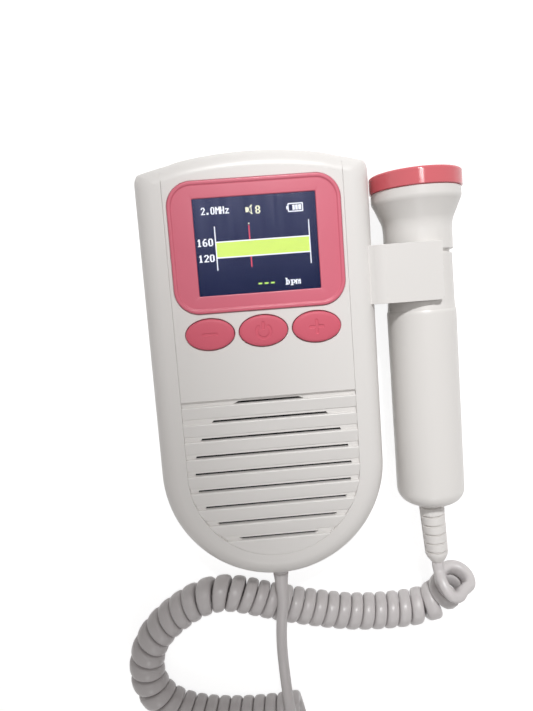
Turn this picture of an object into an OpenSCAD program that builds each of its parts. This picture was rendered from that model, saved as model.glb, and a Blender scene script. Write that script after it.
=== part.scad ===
// Handheld heartbeat monitor with a clip-on probe and a curly cord.
// It lies on its back. Millimetres. The origin is the middle of the flat back
// face, +X points to the probe, +Y to the head end and +Z out of the screen.

/* [Main unit] */
// Width across the flat sides
unit_w = 79.2; // [77:0.2:88]
// Thickness from the back face to the front face
unit_t = 29.6; // [28.8:0.2:33]
// Height of the crowned top end above the origin
unit_top = 74.8; // [73.4:0.2:82]
// Distance below the origin at which the round bottom end begins
tail_y = 33; // [31:0.5:37]
// Depth of the round bottom end
tail_h = 41.8; // [40:0.2:48]
// Radius of the crowned top end
top_r = 136; // [110:1:300]
// Rounding of the front edges
edge_r = 5.5; // [4.5:0.1:6.5]
// Rounding of the back edges
back_r = 6; // [4.5:0.1:6.8]
// Thickness of the side walls
wall = 2.2; // [1.8:0.1:2.6]
// Thickness of the back wall
floor_t = 2.8; // [2.6:0.1:3.4]
// Height of the parting plane between the two casing halves
split_z = 14; // [13:0.25:14.5]

/* [Front panel] */
// Width of the panel strip
panel_w = 58.3; // [57.6:0.1:59]
// Least width of the panel beside the screen surround
bezel_side = 1.2; // [0.9:0.05:1.25]
// Depth of the panel's round bottom end
panel_tail = 29.6; // [29:0.1:32]
// Thickness of the panel and of the casing's front wall
panel_t = 2.2; // [2:0.1:2.6]
// How far the panel stands proud over the top end
panel_crown = 0.4; // [0.2:0.05:0.8]
// Gap of the hairline seam round the panel
seam_gap = 0.12; // [0.08:0.01:0.3]
// Width of the ledge that carries the panel
ledge_w = 1.5; // [1:0.1:1.6]
// Thickness of that ledge
ledge_t = 1; // [0.8:0.1:1.6]

/* [Grille] */
// Number of louvre steps
slat_n = 9; // [7:1:9]
// Distance from one step to the next
slat_pitch = 5.92; // [5.4:0.02:6]
// Place of the first step
slat_y = -7.4; // [-8.2:0.1:-7]
// Width of the flat recess below each step
slat_recess = 1.7; // [1.4:0.1:2]
// How far a slat sinks along its slope
slat_dip = 0.8; // [0.4:0.1:1]
// Height of the step at the slat's lower edge
slat_step = 0.4; // [0.3:0.1:0.6]
// Width of the sound slots
slot_w = 0.65; // [0.4:0.05:1]
// Radius of the round field that the slots fill
grille_r = 26.6; // [24:0.1:27]
// Distance of the field's middle below the middle step
grille_drop = 1.85; // [1:0.05:2.2]
// Rounding of each slat's upper edge
slat_round = 0.5; // [0.2:0.05:0.6]

/* [Screen] */
// Width of the screen surround
bezel_w = 55.8; // [54:0.1:57]
// Height of the screen surround
bezel_h = 42.2; // [41:0.1:44]
// Place of its middle above the origin
bezel_y = 42.6; // [42:0.1:44]
// Corner radius of the surround
bezel_r = 8; // [6:0.1:10]
// Height of the surround above the panel
bezel_rise = 0.8; // [0.4:0.1:1.2]
// Depth of the seat in the panel
bezel_seat = 1.5; // [1.3:0.1:1.6]
// Width of the raised bead along its edge
bead_w = 1.2; // [0.8:0.1:2]
// Width of the visible screen
screen_w = 39.6; // [38:0.1:41]
// Height of the visible screen
screen_h = 31; // [30:0.1:33]
// Margin of the clear window behind the surround
window_lip = 1.6; // [1:0.1:2.4]
// Thickness of the clear window
window_t = 1.4; // [1:0.1:1.6]
// Width of the display
lcd_w = 46; // [44:0.5:50]
// Height of the display
lcd_h = 37; // [36:0.5:40]
// Thickness of the display's glass
lcd_t = 2.6; // [2:0.1:3]
// Gap between neighbouring fixed pieces
fit_gap = 0.15; // [0.1:0.01:0.2]

/* [Keys] */
// Length of the oval keys
key_w = 15.8; // [14:0.1:16.2]
// Height of the oval keys
key_h = 10.1; // [9:0.1:10.8]
// Distance between the keys
key_pitch = 17.5; // [17.2:0.1:19]
// Place of the keys above the origin
key_y = 14.65; // [13.6:0.05:15]
// Height of the keys above the panel
key_rise = 1; // [0.8:0.1:1.6]
// Gap round each key
key_gap = 0.25; // [0.2:0.05:0.4]
// Travel of each key
key_travel = 0.8; // [0.5:0.05:1]
// Width of the flange that keeps a key in
key_flange = 0.6; // [0.5:0.05:0.7]
// Thickness of that flange
flange_t = 1; // [0.8:0.1:1.3]

/* [Speaker] */
// Diameter of the speaker
speaker_d = 50; // [46:0.5:51]
// Depth of the speaker behind its cloth
speaker_h = 13.5; // [11:0.5:14]
// Diameter of the magnet
magnet_d = 22; // [18:0.5:26]
// Height of the magnet
magnet_h = 5; // [4:0.5:6]
// Thickness of the dust cloth
cloth_t = 0.5; // [0.3:0.05:0.6]

/* [Batteries] */
// Diameter of a cell
cell_d = 14.5; // [14:0.1:14.7]
// Length of a cell with its nub
cell_l = 50.5; // [49:0.1:51]
// Room round a cell
cell_gap = 0.3; // [0.2:0.05:0.5]
// Length of a contact spring
spring_l = 2.2; // [1.5:0.1:3]
// Thickness of a contact plate
plate_t = 0.4; // [0.3:0.05:0.5]
// Side of a contact plate
plate_w = 10; // [8:0.5:12]
// Lower edge of the battery door above the origin
door_y = 6; // [5:0.1:6.5]
// Width of the battery door
door_w = 35; // [34:0.1:37]
// How far the door's edge ribs reach into their grooves
rail_w = 1; // [0.7:0.1:1.2]
// Thickness of those ribs
rail_t = 0.8; // [0.6:0.1:1]
// Running gap of the door
door_gap = 0.2; // [0.15:0.05:0.3]
// Travel of the door along its grooves
door_travel = 62; // [20:1:66]
// Wall of the battery bay
bay_wall = 1.3; // [1:0.1:1.4]

/* [Board] */
// Half of the board's width
board_half = 29; // [28:0.1:29.4]
// Lower edge of the board
board_y0 = 1; // [-1:0.5:3]
// Upper edge of the board
board_y1 = 66; // [64:0.5:67]
// Thickness of the board
board_t = 1.6; // [1.2:0.1:1.6]
// Height of the posts that carry the board
post_h = 0.9; // [0.6:0.1:1.2]
// Side of a key switch
switch_w = 6; // [5:0.1:7]
// Diameter of a switch's plunger
plunger_d = 3.4; // [2.6:0.1:4]
// Length of the larger chip
chip_w = 10; // [8:0.5:12]
// Width of the larger chip
chip_h = 6; // [5:0.5:6.5]
// Side of the smaller chip
chip2_w = 6; // [4:0.5:8]

/* [Screws and socket] */
// Half of the distance between the casing screws
screw_x = 33.3; // [33.1:0.1:33.7]
// Place of the upper casing screws
screw_y1 = 56; // [50:0.5:60]
// Place of the lower casing screws
screw_y0 = -22; // [-26:0.5:-14]
// Diameter of a casing screw
screw_d = 2.5; // [2:0.1:2.8]
// Diameter of its head
head_d = 5.2; // [4.6:0.1:5.4]
// Depth of the head below the back face
head_in = 4; // [3.4:0.1:5]
// Radius of the screw bosses
boss_r = 3.3; // [3.1:0.1:3.5]
// Bore of the earphone socket
socket_d = 3.6; // [3.5:0.02:3.8]
// Length of the earphone socket
socket_l = 14; // [12:0.5:15]
// Place of the socket above the origin
socket_y = 30; // [24:0.5:40]
// Outer diameter of the socket's nose
nose_d = 5; // [4.6:0.1:5.2]

/* [Probe clip] */
// Lower edge of the clip
clip_y = 20.3; // [19:0.1:22]
// Height of the clip
clip_h = 19.3; // [16:0.1:20]
// Thickness of the clip
clip_t = 1.8; // [1.5:0.1:2.2]
// Reach of its two arms past the unit's side
clip_reach = 20.9; // [18:0.1:23]
// How far the front arm laps over the casing's front edge
clip_lap = 2.4; // [2:0.1:3]
// Gap between the arms and the probe's neck
clip_gap = 0.3; // [0.25:0.05:0.6]
// Corner radius of the arms' lower corners
clip_r = 1.8; // [1:0.1:4]
// Diameter of the clip's screws
clip_screw_d = 2; // [1.6:0.1:2.2]

/* [Probe] */
// Distance of the probe's axis from the unit's side
probe_off = 17.15; // [17.05:0.05:18.5]
// Height of the probe's axis
probe_z = 16.3; // [16.1:0.1:17]
// Lean of the probe in its clip, in degrees
probe_lean = 0.4; // [0:0.1:0.8]
// Top of the probe's face ring above the origin
face_y = 63.4; // [62:0.1:66]
// Height of the face ring
ring_h = 5.7; // [5:0.1:6.4]
// Rounding of the ring's front edge
ring_r = 1.3; // [0.8:0.1:1.6]
// Diameter of the face ring
ring_d = 31.4; // [31:0.1:32]
// Diameter of the head's white rim
rim_d = 30.4; // [29:0.1:30.8]
// Height of that rim
rim_h = 3.7; // [3:0.1:5]
// Upper end of the neck
neck_y = 47; // [45:0.1:48.5]
// Diameter of the neck
neck_d = 23.4; // [23:0.1:24]
// Place of the groove between head and grip
groove_y = 37; // [36.4:0.1:38]
// Height of that groove
groove_h = 1.1; // [0.8:0.1:1.4]
// Diameter of the waist below the groove
waist_d = 22.6; // [22:0.1:22.8]
// Lower end of the waist
waist_y = 17; // [15:0.1:18]
// Diameter of the grip
grip_d = 23.8; // [23.2:0.1:24.6]
// Lower end of the grip
grip_y = -53.7; // [-58:0.1:-50]
// Rounding of the grip's end
grip_r = 5.5; // [4:0.1:7]
// Wall of the probe
probe_wall = 2; // [1.6:0.1:2.4]
// Diameter of each sound disc
disc_d = 20; // [16:0.5:22]
// Width of the probe's board
pboard_w = 14.6; // [12:0.1:15]
// Thickness of that board
pboard_t = 1.6; // [1.2:0.1:2]
// Place of its lower end
pboard_y = -20; // [-30:0.5:-10]

/* [Strain reliefs] */
// Length of the probe's ribbed sleeve
boot_l = 22.7; // [21:0.1:25]
// Diameter of the sleeve where it leaves the grip
boot_d = 9; // [8.6:0.1:10]
// Diameter of the sleeve before its end
boot_d2 = 8.2; // [7.6:0.1:8.4]
// Number of grooves in the sleeve
boot_n = 6; // [4:1:6]
// Distance between those grooves
boot_pitch = 3.46; // [3.3:0.02:3.6]
// Width of a groove
boot_groove = 0.6; // [0.4:0.05:0.9]
// Depth of a groove
boot_deep = 0.8; // [0.5:0.05:1]
// Width of the web that each groove leaves at its two ends
boot_web = 4.4; // [3.6:0.1:5]
// Depth of the flats between the grooves' ends
boot_flat = 0.3; // [0.2:0.05:0.5]
// Extra lean of the sleeve, in degrees
boot_lean = 3.2; // [2:0.1:4]
// Height at which the unit's lead leaves the casing
lead_z = 17.4; // [17.2:0.1:18.4]
// Length of the unit's sleeve outside the casing
sleeve_l = 7.2; // [6:0.1:9]
// Diameter of that sleeve at the casing
sleeve_d = 5.4; // [5:0.1:5.8]

/* [Cord] */
// Diameter of the cord
cord_d = 4.05; // [3.6:0.05:4.2]
// Radius from the coil's middle to the cord's middle
coil_r = 4.76; // [4.6:0.01:5]
// Gap between neighbouring curls
curl_gap = 0.55; // [0.5:0.05:0.8]
// Extra radius of the last curl at the probe's end
coil_flare = 0.6; // [0:0.1:1]

/* [Hidden] */
$fn = 64;
e = 0.01;
half_w = unit_w / 2;
under_z = unit_t - panel_t;
seam_x = max(panel_w / 2, bezel_w / 2 + bezel_side);
corner_w = 2;
corner_h = 4;
arc_n = 18;
top_n = 9;
fillet_n = 5;
// battery bay, door rails, board and socket heights
cell_x = cell_d / 2 + cell_gap / 2;
cell_z = floor_t + cell_gap + cell_d / 2;
bay_x = cell_x + cell_d / 2 + cell_gap;
bay_y0 = door_y + 2;
bay_y1 = bay_y0 + 2 * plate_t + spring_l + cell_l;
bay_top = cell_z + cell_d / 2 + cell_gap;
board_z = bay_top + bay_wall + post_h;
rail_z = floor_t / 2 - rail_t / 2;
rail_x = door_w / 2 + rail_w + 1.8;
shelf_z = floor_t + 1.4;
socket_z = board_z - nose_d / 2 - 0.2;

// top end at x, drawn in by d; the panel strip bulges a little over it
function bulge(x) = let (t = min(1, max(0, (seam_x - abs(x)) / 7)))
    panel_crown * t * t * (3 - 2 * t);
function top_at(x, d) = unit_top - panel_crown - d - x * x / (2 * top_r) + bulge(x);
// right half of the outline drawn in by d, from the bottom middle to the top middle
function half_line(d) = let (a = half_w - d, xc = a - corner_w, yc = top_at(xc, d))
    concat(
        [for (i = [0:arc_n]) let (t = -90 + 90 * i / arc_n)
            [a * cos(t), -tail_y + (tail_h - d) * sin(t)]],
        [for (j = [0:4]) let (t = 90 * j / 4)
            [xc + corner_w * cos(t), yc - corner_h + corner_h * sin(t)]],
        [for (k = [1:top_n]) let (x = xc * (1 - k / top_n)) [x, top_at(x, d)]]);
function outline(d) = let (h = half_line(d), n = len(h))
    concat(h, [for (i = [n - 2:-1:1]) [-h[i][0], h[i][1]]]);

// solid through closed rings of equal point count
module skin(rings) {
    n = len(rings[0]);
    m = len(rings);
    polyhedron([for (r = rings) for (p = r) p], concat([[for (i = [0:n - 1]) i]],
        [for (j = [0:m - 2]) for (i = [0:n - 1])
            let (p = j * n + i, q = j * n + (i + 1) % n)
            each [[p, p + n, q + n], [p, q + n, q]]],
        [[for (i = [n - 1:-1:0]) (m - 1) * n + i]]));
}
function at_height(line, z) = [for (p = line) [p[0], p[1], z]];
// solid through the outline at each [height, inset]
module loft(levels) skin([for (l = levels) at_height(outline(l[1]), l[0])]);
front_levels = concat([[split_z, 0]],
    [for (k = [0:fillet_n]) let (t = 90 * k / fillet_n)
        [unit_t - edge_r * (1 - sin(t)), edge_r * (1 - cos(t))]]);
in_r = edge_r - wall;
in_end = asin(min(0.98, (edge_r - panel_t) / in_r));
front_hollow = concat([[split_z - 1, wall]],
    [for (k = [0:2]) let (t = in_end * k / 2)
        [unit_t - edge_r + (k == 2 ? edge_r - panel_t : in_r * sin(t)),
            wall + in_r * (1 - cos(t))]]);
back_levels = concat(
    [for (k = [0:fillet_n]) let (t = 90 * k / fillet_n)
        [back_r * (1 - cos(t)), back_r * (1 - sin(t))]],
    [[split_z, 0]]);
bk_r = back_r - wall;
bk_start = acos(min(0.98, (back_r - floor_t) / bk_r));
back_hollow = concat(
    [for (k = [0:2]) let (t = bk_start + (90 - bk_start) * k / 2)
        [k == 0 ? floor_t : back_r - bk_r * cos(t), wall + bk_r * (1 - sin(t))]],
    [[split_z + 1, wall]]);

// extrude a [y, z] profile along X, or an [x, z] profile along Y
module along_x(l) translate([-l / 2, 0, 0]) rotate([90, 0, 90]) linear_extrude(l) children();
module along_y(y0, l) translate([0, y0 + l, 0]) rotate([90, 0, 0]) linear_extrude(l) children();
// cylinder along +X or +Y from a point
module rod_x(p, r, l) translate(p) rotate([0, 90, 0]) cylinder(r = r, h = l);
module rod_y(p, r, l) translate(p) rotate([-90, 0, 0]) cylinder(r = r, h = l);
module block(x0, x1, y0, y1, z0, z1) translate([x0, y0, z0]) cube([x1 - x0, y1 - y0, z1 - z0]);
module both() { children(); mirror([1, 0, 0]) children(); }
module rounded(w, h, r) {
    square([w - 2 * r, h], center = true);
    square([w, h - 2 * r], center = true);
    for (x = [-1, 1], y = [-1, 1]) translate([x * (w / 2 - r), y * (h / 2 - r)]) circle(r);
}
function oval(w, h, n) = [for (i = [0:n - 1]) [w / 2 * cos(360 * i / n), h / 2 * sin(360 * i / n)]];
// outline of a plate with round corners, n steps a corner
function round_line(w, h, r, n) = [for (c = [0:3]) for (k = [0:n]) let (a = 90 * (c + k / n))
    [(c == 0 || c == 3 ? 1 : -1) * (w / 2 - r) + r * cos(a), (c < 2 ? 1 : -1) * (h / 2 - r) + r * sin(a)]];
// soft bend from a to c that leans towards b
function bow(a, b, c, n) = [for (i = [0:n]) let (t = i / n)
    (1 - t) * (1 - t) * a + 2 * t * (1 - t) * b + t * t * c];

// the panel's own outline drawn in by g, open past the top end up to y1
module strip(g, y1) polygon(concat(
    [for (i = [0:24]) let (t = -180 + 180 * i / 24)
        [(seam_x - g) * cos(t), -tail_y + (panel_tail - g) * sin(t)]],
    [[seam_x - g, y1], [g - seam_x, y1]]));
module front_shell() difference() { loft(front_levels); loft(front_hollow); }

// ---- casing ----
module screw_places() for (y = [screw_y0, screw_y1]) both() translate([screw_x, y, 0]) children();
module front_casing() color([0.89, 0.87, 0.85]) difference() {
    union() {
        difference() {
            front_shell();
            translate([0, 0, split_z - 1]) linear_extrude(unit_t) strip(0, unit_top + 9);
        }
        // ledge under the panel's edge
        translate([0, 0, under_z - ledge_t]) linear_extrude(ledge_t)
            difference() { strip(-1, board_y1); strip(ledge_w, unit_top + 9); }
        translate([0, 0, under_z - ledge_t]) linear_extrude(ledge_t + 0.5)
            difference() { strip(-1, board_y1); strip(0, unit_top + 9); }
        screw_places() translate([0, 0, split_z]) cylinder(r = boss_r - 0.2, h = under_z + 0.5 - split_z);
    }
    // the panel's own place
    translate([0, 0, under_z]) linear_extrude(unit_t) strip(0, unit_top + 9);
    screw_places() translate([0, 0, split_z - 1]) cylinder(d = screw_d + 0.1, h = 10);
    // socket hole in the left side, lead hole in the bottom end
    rod_x([-half_w - 1, socket_y, socket_z], nose_d / 2 + 0.1, wall + 2);
    rod_y([0, -tail_y - tail_h - 1, lead_z], sleeve_d / 2, 1 + wall + 1);
}
module rear_casing() color([0.88, 0.86, 0.84]) difference() {
    union() {
        difference() { loft(back_levels); loft(back_hollow); }
        // battery bay: side walls, end walls and roof
        difference() {
            block(-bay_x - bay_wall, bay_x + bay_wall, bay_y0 - bay_wall, bay_y1 + bay_wall,
                floor_t - 1, bay_top + bay_wall);
            block(-bay_x, bay_x, bay_y0, bay_y1, 0, bay_top);
        }
        // shelf that closes the casing above the door's far end and its rails
        block(-rail_x, rail_x, bay_y1, top_at(0, wall + 1), floor_t - 1, shelf_z);
        both() block(bay_x, rail_x, door_y - 1.2, bay_y1 + 1, floor_t - 1, shelf_z);
        block(-rail_x, rail_x, door_y - 1.2, bay_y0, floor_t - 1, shelf_z);
        screw_places() translate([0, 0, floor_t - 1]) cylinder(r = boss_r, h = split_z + 1 - floor_t);
        // posts under the board
        for (x = [-1, 1], y = [bay_y0 + 3, bay_y1 - 3])
            translate([x * (bay_x - 2), y, bay_top]) cylinder(d = 4, h = bay_wall + post_h);
    }
    // the door's opening and its two grooves, open at the head end
    block(-door_w / 2 - door_gap, door_w / 2 + door_gap, door_y - door_gap, unit_top + 5,
        -1, floor_t + fit_gap);
    block(-door_w / 2 - rail_w - door_gap, door_w / 2 + rail_w + door_gap, door_y - door_gap,
        unit_top + 5, rail_z - fit_gap / 2, rail_z + rail_t + fit_gap / 2);
    block(-bay_x, bay_x, bay_y0, bay_y1, 0, bay_top);
    screw_places() {
        translate([0, 0, -1]) cylinder(d = screw_d + 0.3, h = split_z + 3);
        translate([0, 0, -1]) cylinder(d = head_d + 0.4, h = head_in + 3);
    }
    for (y = clip_ys) rod_x([half_w - wall - 2, y, clip_sz], clip_screw_d / 2 + 0.15, wall + 4);
}
module casing_screws() color("silver") screw_places() {
    translate([0, 0, head_in]) difference() {
        cylinder(d = head_d, h = 2);
        translate([0, 0, -e]) linear_extrude(1.2)
            for (a = [0, 90]) rotate(a) square([head_d * 0.6, 0.8], center = true);
    }
    translate([0, 0, head_in + 2 - e]) cylinder(d = screw_d, h = split_z + 8 - head_in - 2);
}

// ---- front panel with its louvres ----
function step_y(k) = slat_y - k * slat_pitch;
grille_y = step_y((slat_n - 1) / 2) - grille_drop;
module louvre_cut(k) {
    y1 = step_y(k);
    y0 = y1 - slat_recess;
    low = unit_t - slat_dip - slat_step;
    r = slat_round;
    start = k == 0 ? y1 : step_y(k - 1) - slat_recess - r;
    polygon(concat([[start, unit_t + 1], [y0 - r, unit_t + 1]],
        [for (a = [90:-22.5:0]) [y0 - r + r * cos(a), unit_t - r + r * sin(a)]],
        [[y0, low], [y1, low]],
        k == 0 ? [] : [[y1, unit_t - slat_dip], [start, unit_t]]));
}
module front_panel() color([0.9, 0.88, 0.86]) difference() {
    intersection() {
        front_shell();
        translate([0, 0, split_z]) linear_extrude(unit_t) strip(seam_gap, unit_top + 9);
    }
    for (k = [0:slat_n - 1]) along_x(2 * seam_x + 4) louvre_cut(k);
    intersection() {
        for (k = [0:slat_n - 1])
            block(-seam_x, seam_x, step_y(k) - slat_recess, step_y(k) - slat_recess + slot_w,
                under_z - 1, unit_t);
        translate([0, grille_y, under_z - 2]) cylinder(r = grille_r, h = panel_t + 3);
    }
    for (i = [-1:1]) translate([i * key_pitch, key_y, under_z - 1])
        linear_extrude(panel_t + 2) polygon(oval(key_w + 2 * key_gap, key_h + 2 * key_gap, 48));
    translate([0, bezel_y, seat_z]) linear_extrude(panel_t + 1)
        rounded(bezel_w + 2 * fit_gap, bezel_h + 2 * fit_gap, bezel_r + fit_gap);
    translate([0, bezel_y, under_z - 1]) linear_extrude(panel_t)
        square([window_w + 2 * fit_gap, window_h + 2 * fit_gap], center = true);
}

// ---- screen ----
seat_z = unit_t - bezel_seat;
window_w = screen_w + 2 * window_lip;
window_h = screen_h + 2 * window_lip;
window_z = unit_t - 0.4 - window_t;
bezel_top = unit_t + bezel_rise;
module screen_bezel() color([0.85, 0.41, 0.49]) translate([0, bezel_y, 0]) difference() {
    skin([for (l = [[seat_z, 0], [bezel_top - 0.45, 0], [bezel_top - 0.2, 0.1], [bezel_top - 0.06, 0.28],
        [bezel_top, 0.6]])
        at_height(round_line(bezel_w - 2 * l[1], bezel_h - 2 * l[1], bezel_r - l[1], 9), l[0])]);
    translate([0, 0, bezel_top - 0.3]) linear_extrude(1)
        rounded(bezel_w - 2 * bead_w, bezel_h - 2 * bead_w, bezel_r - bead_w);
    translate([0, 0, seat_z - 1]) linear_extrude(bezel_seat + bezel_rise + 2)
        square([screen_w, screen_h], center = true);
    translate([0, 0, seat_z - 1]) linear_extrude(window_z + window_t + 0.02 - seat_z + 1)
        square([window_w + 2 * fit_gap, window_h + 2 * fit_gap], center = true);
}
module display_window() color([0.75, 0.82, 0.9, 0.4]) translate([0, bezel_y, window_z])
    linear_extrude(window_t) square([window_w, window_h], center = true);
module lcd_panel() color([0.13, 0.16, 0.3]) translate([0, bezel_y, 0]) {
    translate([0, 0, lcd_z]) linear_extrude(lcd_t) square([lcd_w, lcd_h], center = true);
    translate([0, 0, board_z + board_t])
        linear_extrude(lcd_z - board_z - board_t + e) square([lcd_w - 2, lcd_h - 2], center = true);
}
lcd_z = min(window_z, under_z) - fit_gap - lcd_t;

// ---- keys: an oval pad with a soft edge on a flange ----
key_n = 32;
key_rings = [[under_z - fit_gap - e, 0], [unit_t + key_rise - 0.75, 0], [unit_t + key_rise - 0.4, 0.22],
    [unit_t + key_rise - 0.18, 0.65], [unit_t + key_rise - 0.05, 1.5], [unit_t + key_rise, 3]];
module key_pad() skin([for (r = key_rings) at_height(oval(key_w - 2 * r[1], key_h - 2 * r[1], key_n), r[0])]);
flange_z = under_z - fit_gap - flange_t;
module key(i) color([0.85, 0.41, 0.49]) translate([i * key_pitch, key_y, 0]) {
    key_pad();
    translate([0, 0, flange_z]) linear_extrude(flange_t)
        polygon(oval(key_w + 2 * key_flange, key_h + 2 * key_flange, key_n));
}
module minus_key() key(-1);
module power_key() key(0);
module plus_key() key(1);
plunger_z = flange_z - key_travel - fit_gap;
module key_switches() for (i = [-1:1]) translate([i * key_pitch, key_y, board_z + board_t]) {
    h = plunger_z - board_z - board_t;
    color("dimgray") translate([-switch_w / 2, -switch_w / 2, 0]) cube([switch_w, switch_w, h - 0.6]);
    color("gainsboro") cylinder(d = plunger_d, h = h);
}

// ---- speaker ----
cloth_z = under_z - cloth_t;
rim_z = cloth_z - 0.8;
sp_r = speaker_d / 2;
basket_z = cloth_z - speaker_h + magnet_h;
module at_speaker() translate([0, grille_y, 0]) children();
module dust_cloth() color([0.12, 0.12, 0.13]) at_speaker() translate([0, 0, cloth_z])
    cylinder(r = grille_r + 0.5, h = cloth_t);
module speaker_frame() color([0.3, 0.3, 0.32]) at_speaker() rotate_extrude() polygon([
    [sp_r - 3.5, rim_z], [sp_r, rim_z], [sp_r, cloth_z], [sp_r - 2.5, cloth_z], [sp_r - 2.5, rim_z + 0.4],
    [sp_r - 3, rim_z + 0.4], [magnet_d / 2 + 1.6, basket_z + 0.8], [3.6, basket_z + 0.8], [3.6, basket_z],
    [magnet_d / 2 + 2, basket_z]]);
module speaker_cone() color([0.2, 0.2, 0.22]) at_speaker() rotate_extrude() polygon([
    [0, basket_z + 2.2], [3.2, basket_z + 2.2], [3.2, basket_z + 1], [4.4, basket_z + 1],
    [4.4, basket_z + 3.2], [sp_r - 4, rim_z + 0.5], [sp_r - 2.6, rim_z + 0.5], [sp_r - 2.6, rim_z + 0.7],
    [sp_r - 4.2, rim_z + 0.7], [5, basket_z + 3.9], [2.5, basket_z + 4.6], [0, basket_z + 4.8]]);
module speaker_magnet() color([0.35, 0.35, 0.38]) at_speaker() translate([0, 0, basket_z - magnet_h]) {
    cylinder(d = magnet_d, h = magnet_h - 1);
    cylinder(d = magnet_d - 2, h = magnet_h);
}

// ---- batteries, their contacts and the sliding door ----
module cell(x, up) translate([x, up ? bay_y0 + plate_t + spring_l : bay_y1 - plate_t - spring_l, cell_z])
    rotate([up ? -90 : 90, 0, 0]) {
        color([0.2, 0.22, 0.25]) cylinder(d = cell_d, h = cell_l - 1);
        color("silver") cylinder(d = 5.5, h = cell_l);
    }
module left_cell() cell(-cell_x, true);
module right_cell() cell(cell_x, false);
module battery_contacts() color("silver") {
    for (y = [bay_y0, bay_y1 - plate_t]) for (x = [-cell_x, cell_x])
        block(x - plate_w / 2, x + plate_w / 2, y, y + plate_t, cell_z - plate_w / 2, cell_z + plate_w / 2);
    block(-cell_x, cell_x, bay_y1 - plate_t, bay_y1, cell_z - 2, cell_z + 2);
    for (s = [-1, 1]) translate([s * cell_x, s < 0 ? bay_y0 + plate_t : bay_y1 - plate_t, cell_z])
        rotate([s * 90, 0, 0]) cylinder(r1 = 4.4, r2 = 2.8, h = spring_l);
}
module battery_door() color([0.87, 0.85, 0.83]) difference() {
    union() {
        intersection() {
            loft(back_levels);
            block(-door_w / 2, door_w / 2, door_y, unit_top + 5, -1, floor_t);
        }
        block(-door_w / 2 - rail_w, door_w / 2 + rail_w, door_y, top_at(0, back_r), rail_z, rail_z + rail_t);
    }
    // thumb grooves
    for (k = [0:5]) block(-7, 7, door_y + 6 + 2.2 * k, door_y + 7.1 + 2.2 * k, -1, 0.6);
}

// ---- board and earphone socket ----
module main_board() {
    color([0.1, 0.35, 0.2]) block(-board_half, board_half, board_y0, board_y1, board_z, board_z + board_t);
    color([0.12, 0.12, 0.13]) {
        block(-chip_w / 2, chip_w / 2, board_y0 + 1, board_y0 + 1 + chip_h, board_z + board_t - e,
            board_z + board_t + 1.2);
        block(chip_w, chip_w + chip2_w, board_y0 + 1, board_y0 + 1 + chip_h * 0.7, board_z + board_t - e,
            board_z + board_t + 1.4);
    }
}
module earphone_socket() color([0.12, 0.12, 0.13]) difference() {
    union() {
        rod_x([fit_gap - half_w, socket_y, socket_z], nose_d / 2, socket_l - fit_gap);
        block(-half_w + wall + fit_gap, socket_l - half_w, socket_y - 3.2, socket_y + 3.2,
            socket_z - 2.8, board_z);
    }
    rod_x([-half_w - 1, socket_y, socket_z], socket_d / 2, socket_l);
}

// ---- probe clip: a flat web on the unit's side with two parallel arms ----
arm_half = neck_d / 2 + clip_gap;
web_x = half_w + clip_t;
tip_x = half_w + clip_reach;
clip_ys = [clip_y + clip_h * 0.25, clip_y + clip_h * 0.75];
clip_sz = 9;
// side of the casing in the [x, z] plane, from the front face's edge down
side_line = [for (k = [fillet_n:-1:0]) let (t = 90 * k / fillet_n)
    [half_w - edge_r * (1 - cos(t)), unit_t - edge_r * (1 - sin(t))]];
module probe_clip() color([0.89, 0.87, 0.85]) difference() {
    intersection() {
        along_y(clip_y, clip_h) difference() {
            union() {
                // front arm with a slanting lip over the casing's front edge
                translate([half_w, probe_z + arm_half]) polygon([[-clip_lap, 0], [clip_reach, 0],
                    [clip_reach, clip_t], [2 * clip_t - clip_lap, clip_t]]);
                translate([half_w, probe_z - arm_half - clip_t]) square([tip_x - half_w, clip_t]);
                translate([half_w, probe_z - arm_half - clip_t]) square([clip_t, 2 * arm_half + 2 * clip_t]);
                // fillets inside the two bends
                translate([web_x - e, probe_z + arm_half - 1.2]) square([1.2, 1.2 + e]);
                translate([web_x - e, probe_z - arm_half - e]) square([1.2, 1.2 + e]);
            }
            polygon(concat([[half_w - 20, unit_t]], side_line, [[half_w, 0], [half_w - 20, 0]]));
            for (s = [-1, 1]) translate([web_x + 1.2, probe_z + s * (arm_half - 1.2)]) circle(1.2);
        }
        // outline seen from the front, round at the lower tip
        translate([0, 0, -1]) linear_extrude(unit_t + 2 * clip_t) {
            block2(half_w - 9, tip_x - clip_r, clip_y, clip_y + clip_h);
            block2(half_w, tip_x, clip_y + clip_r, clip_y + clip_h);
            translate([tip_x - clip_r, clip_y + clip_r]) circle(clip_r);
        }
    }
    for (y = clip_ys) rod_x([half_w - 1, y, clip_sz], clip_screw_d / 2, 1 + clip_t - 0.5);
}
module block2(x0, x1, y0, y1) translate([x0, y0]) square([x1 - x0, y1 - y0]);
module clip_screws() color("silver") for (y = clip_ys) {
    rod_x([half_w - wall - 1.2, y, clip_sz], clip_screw_d, 1.2);
    rod_x([half_w - wall - e, y, clip_sz], clip_screw_d / 2 - 0.05, wall + clip_t - 0.7);
}

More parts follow.
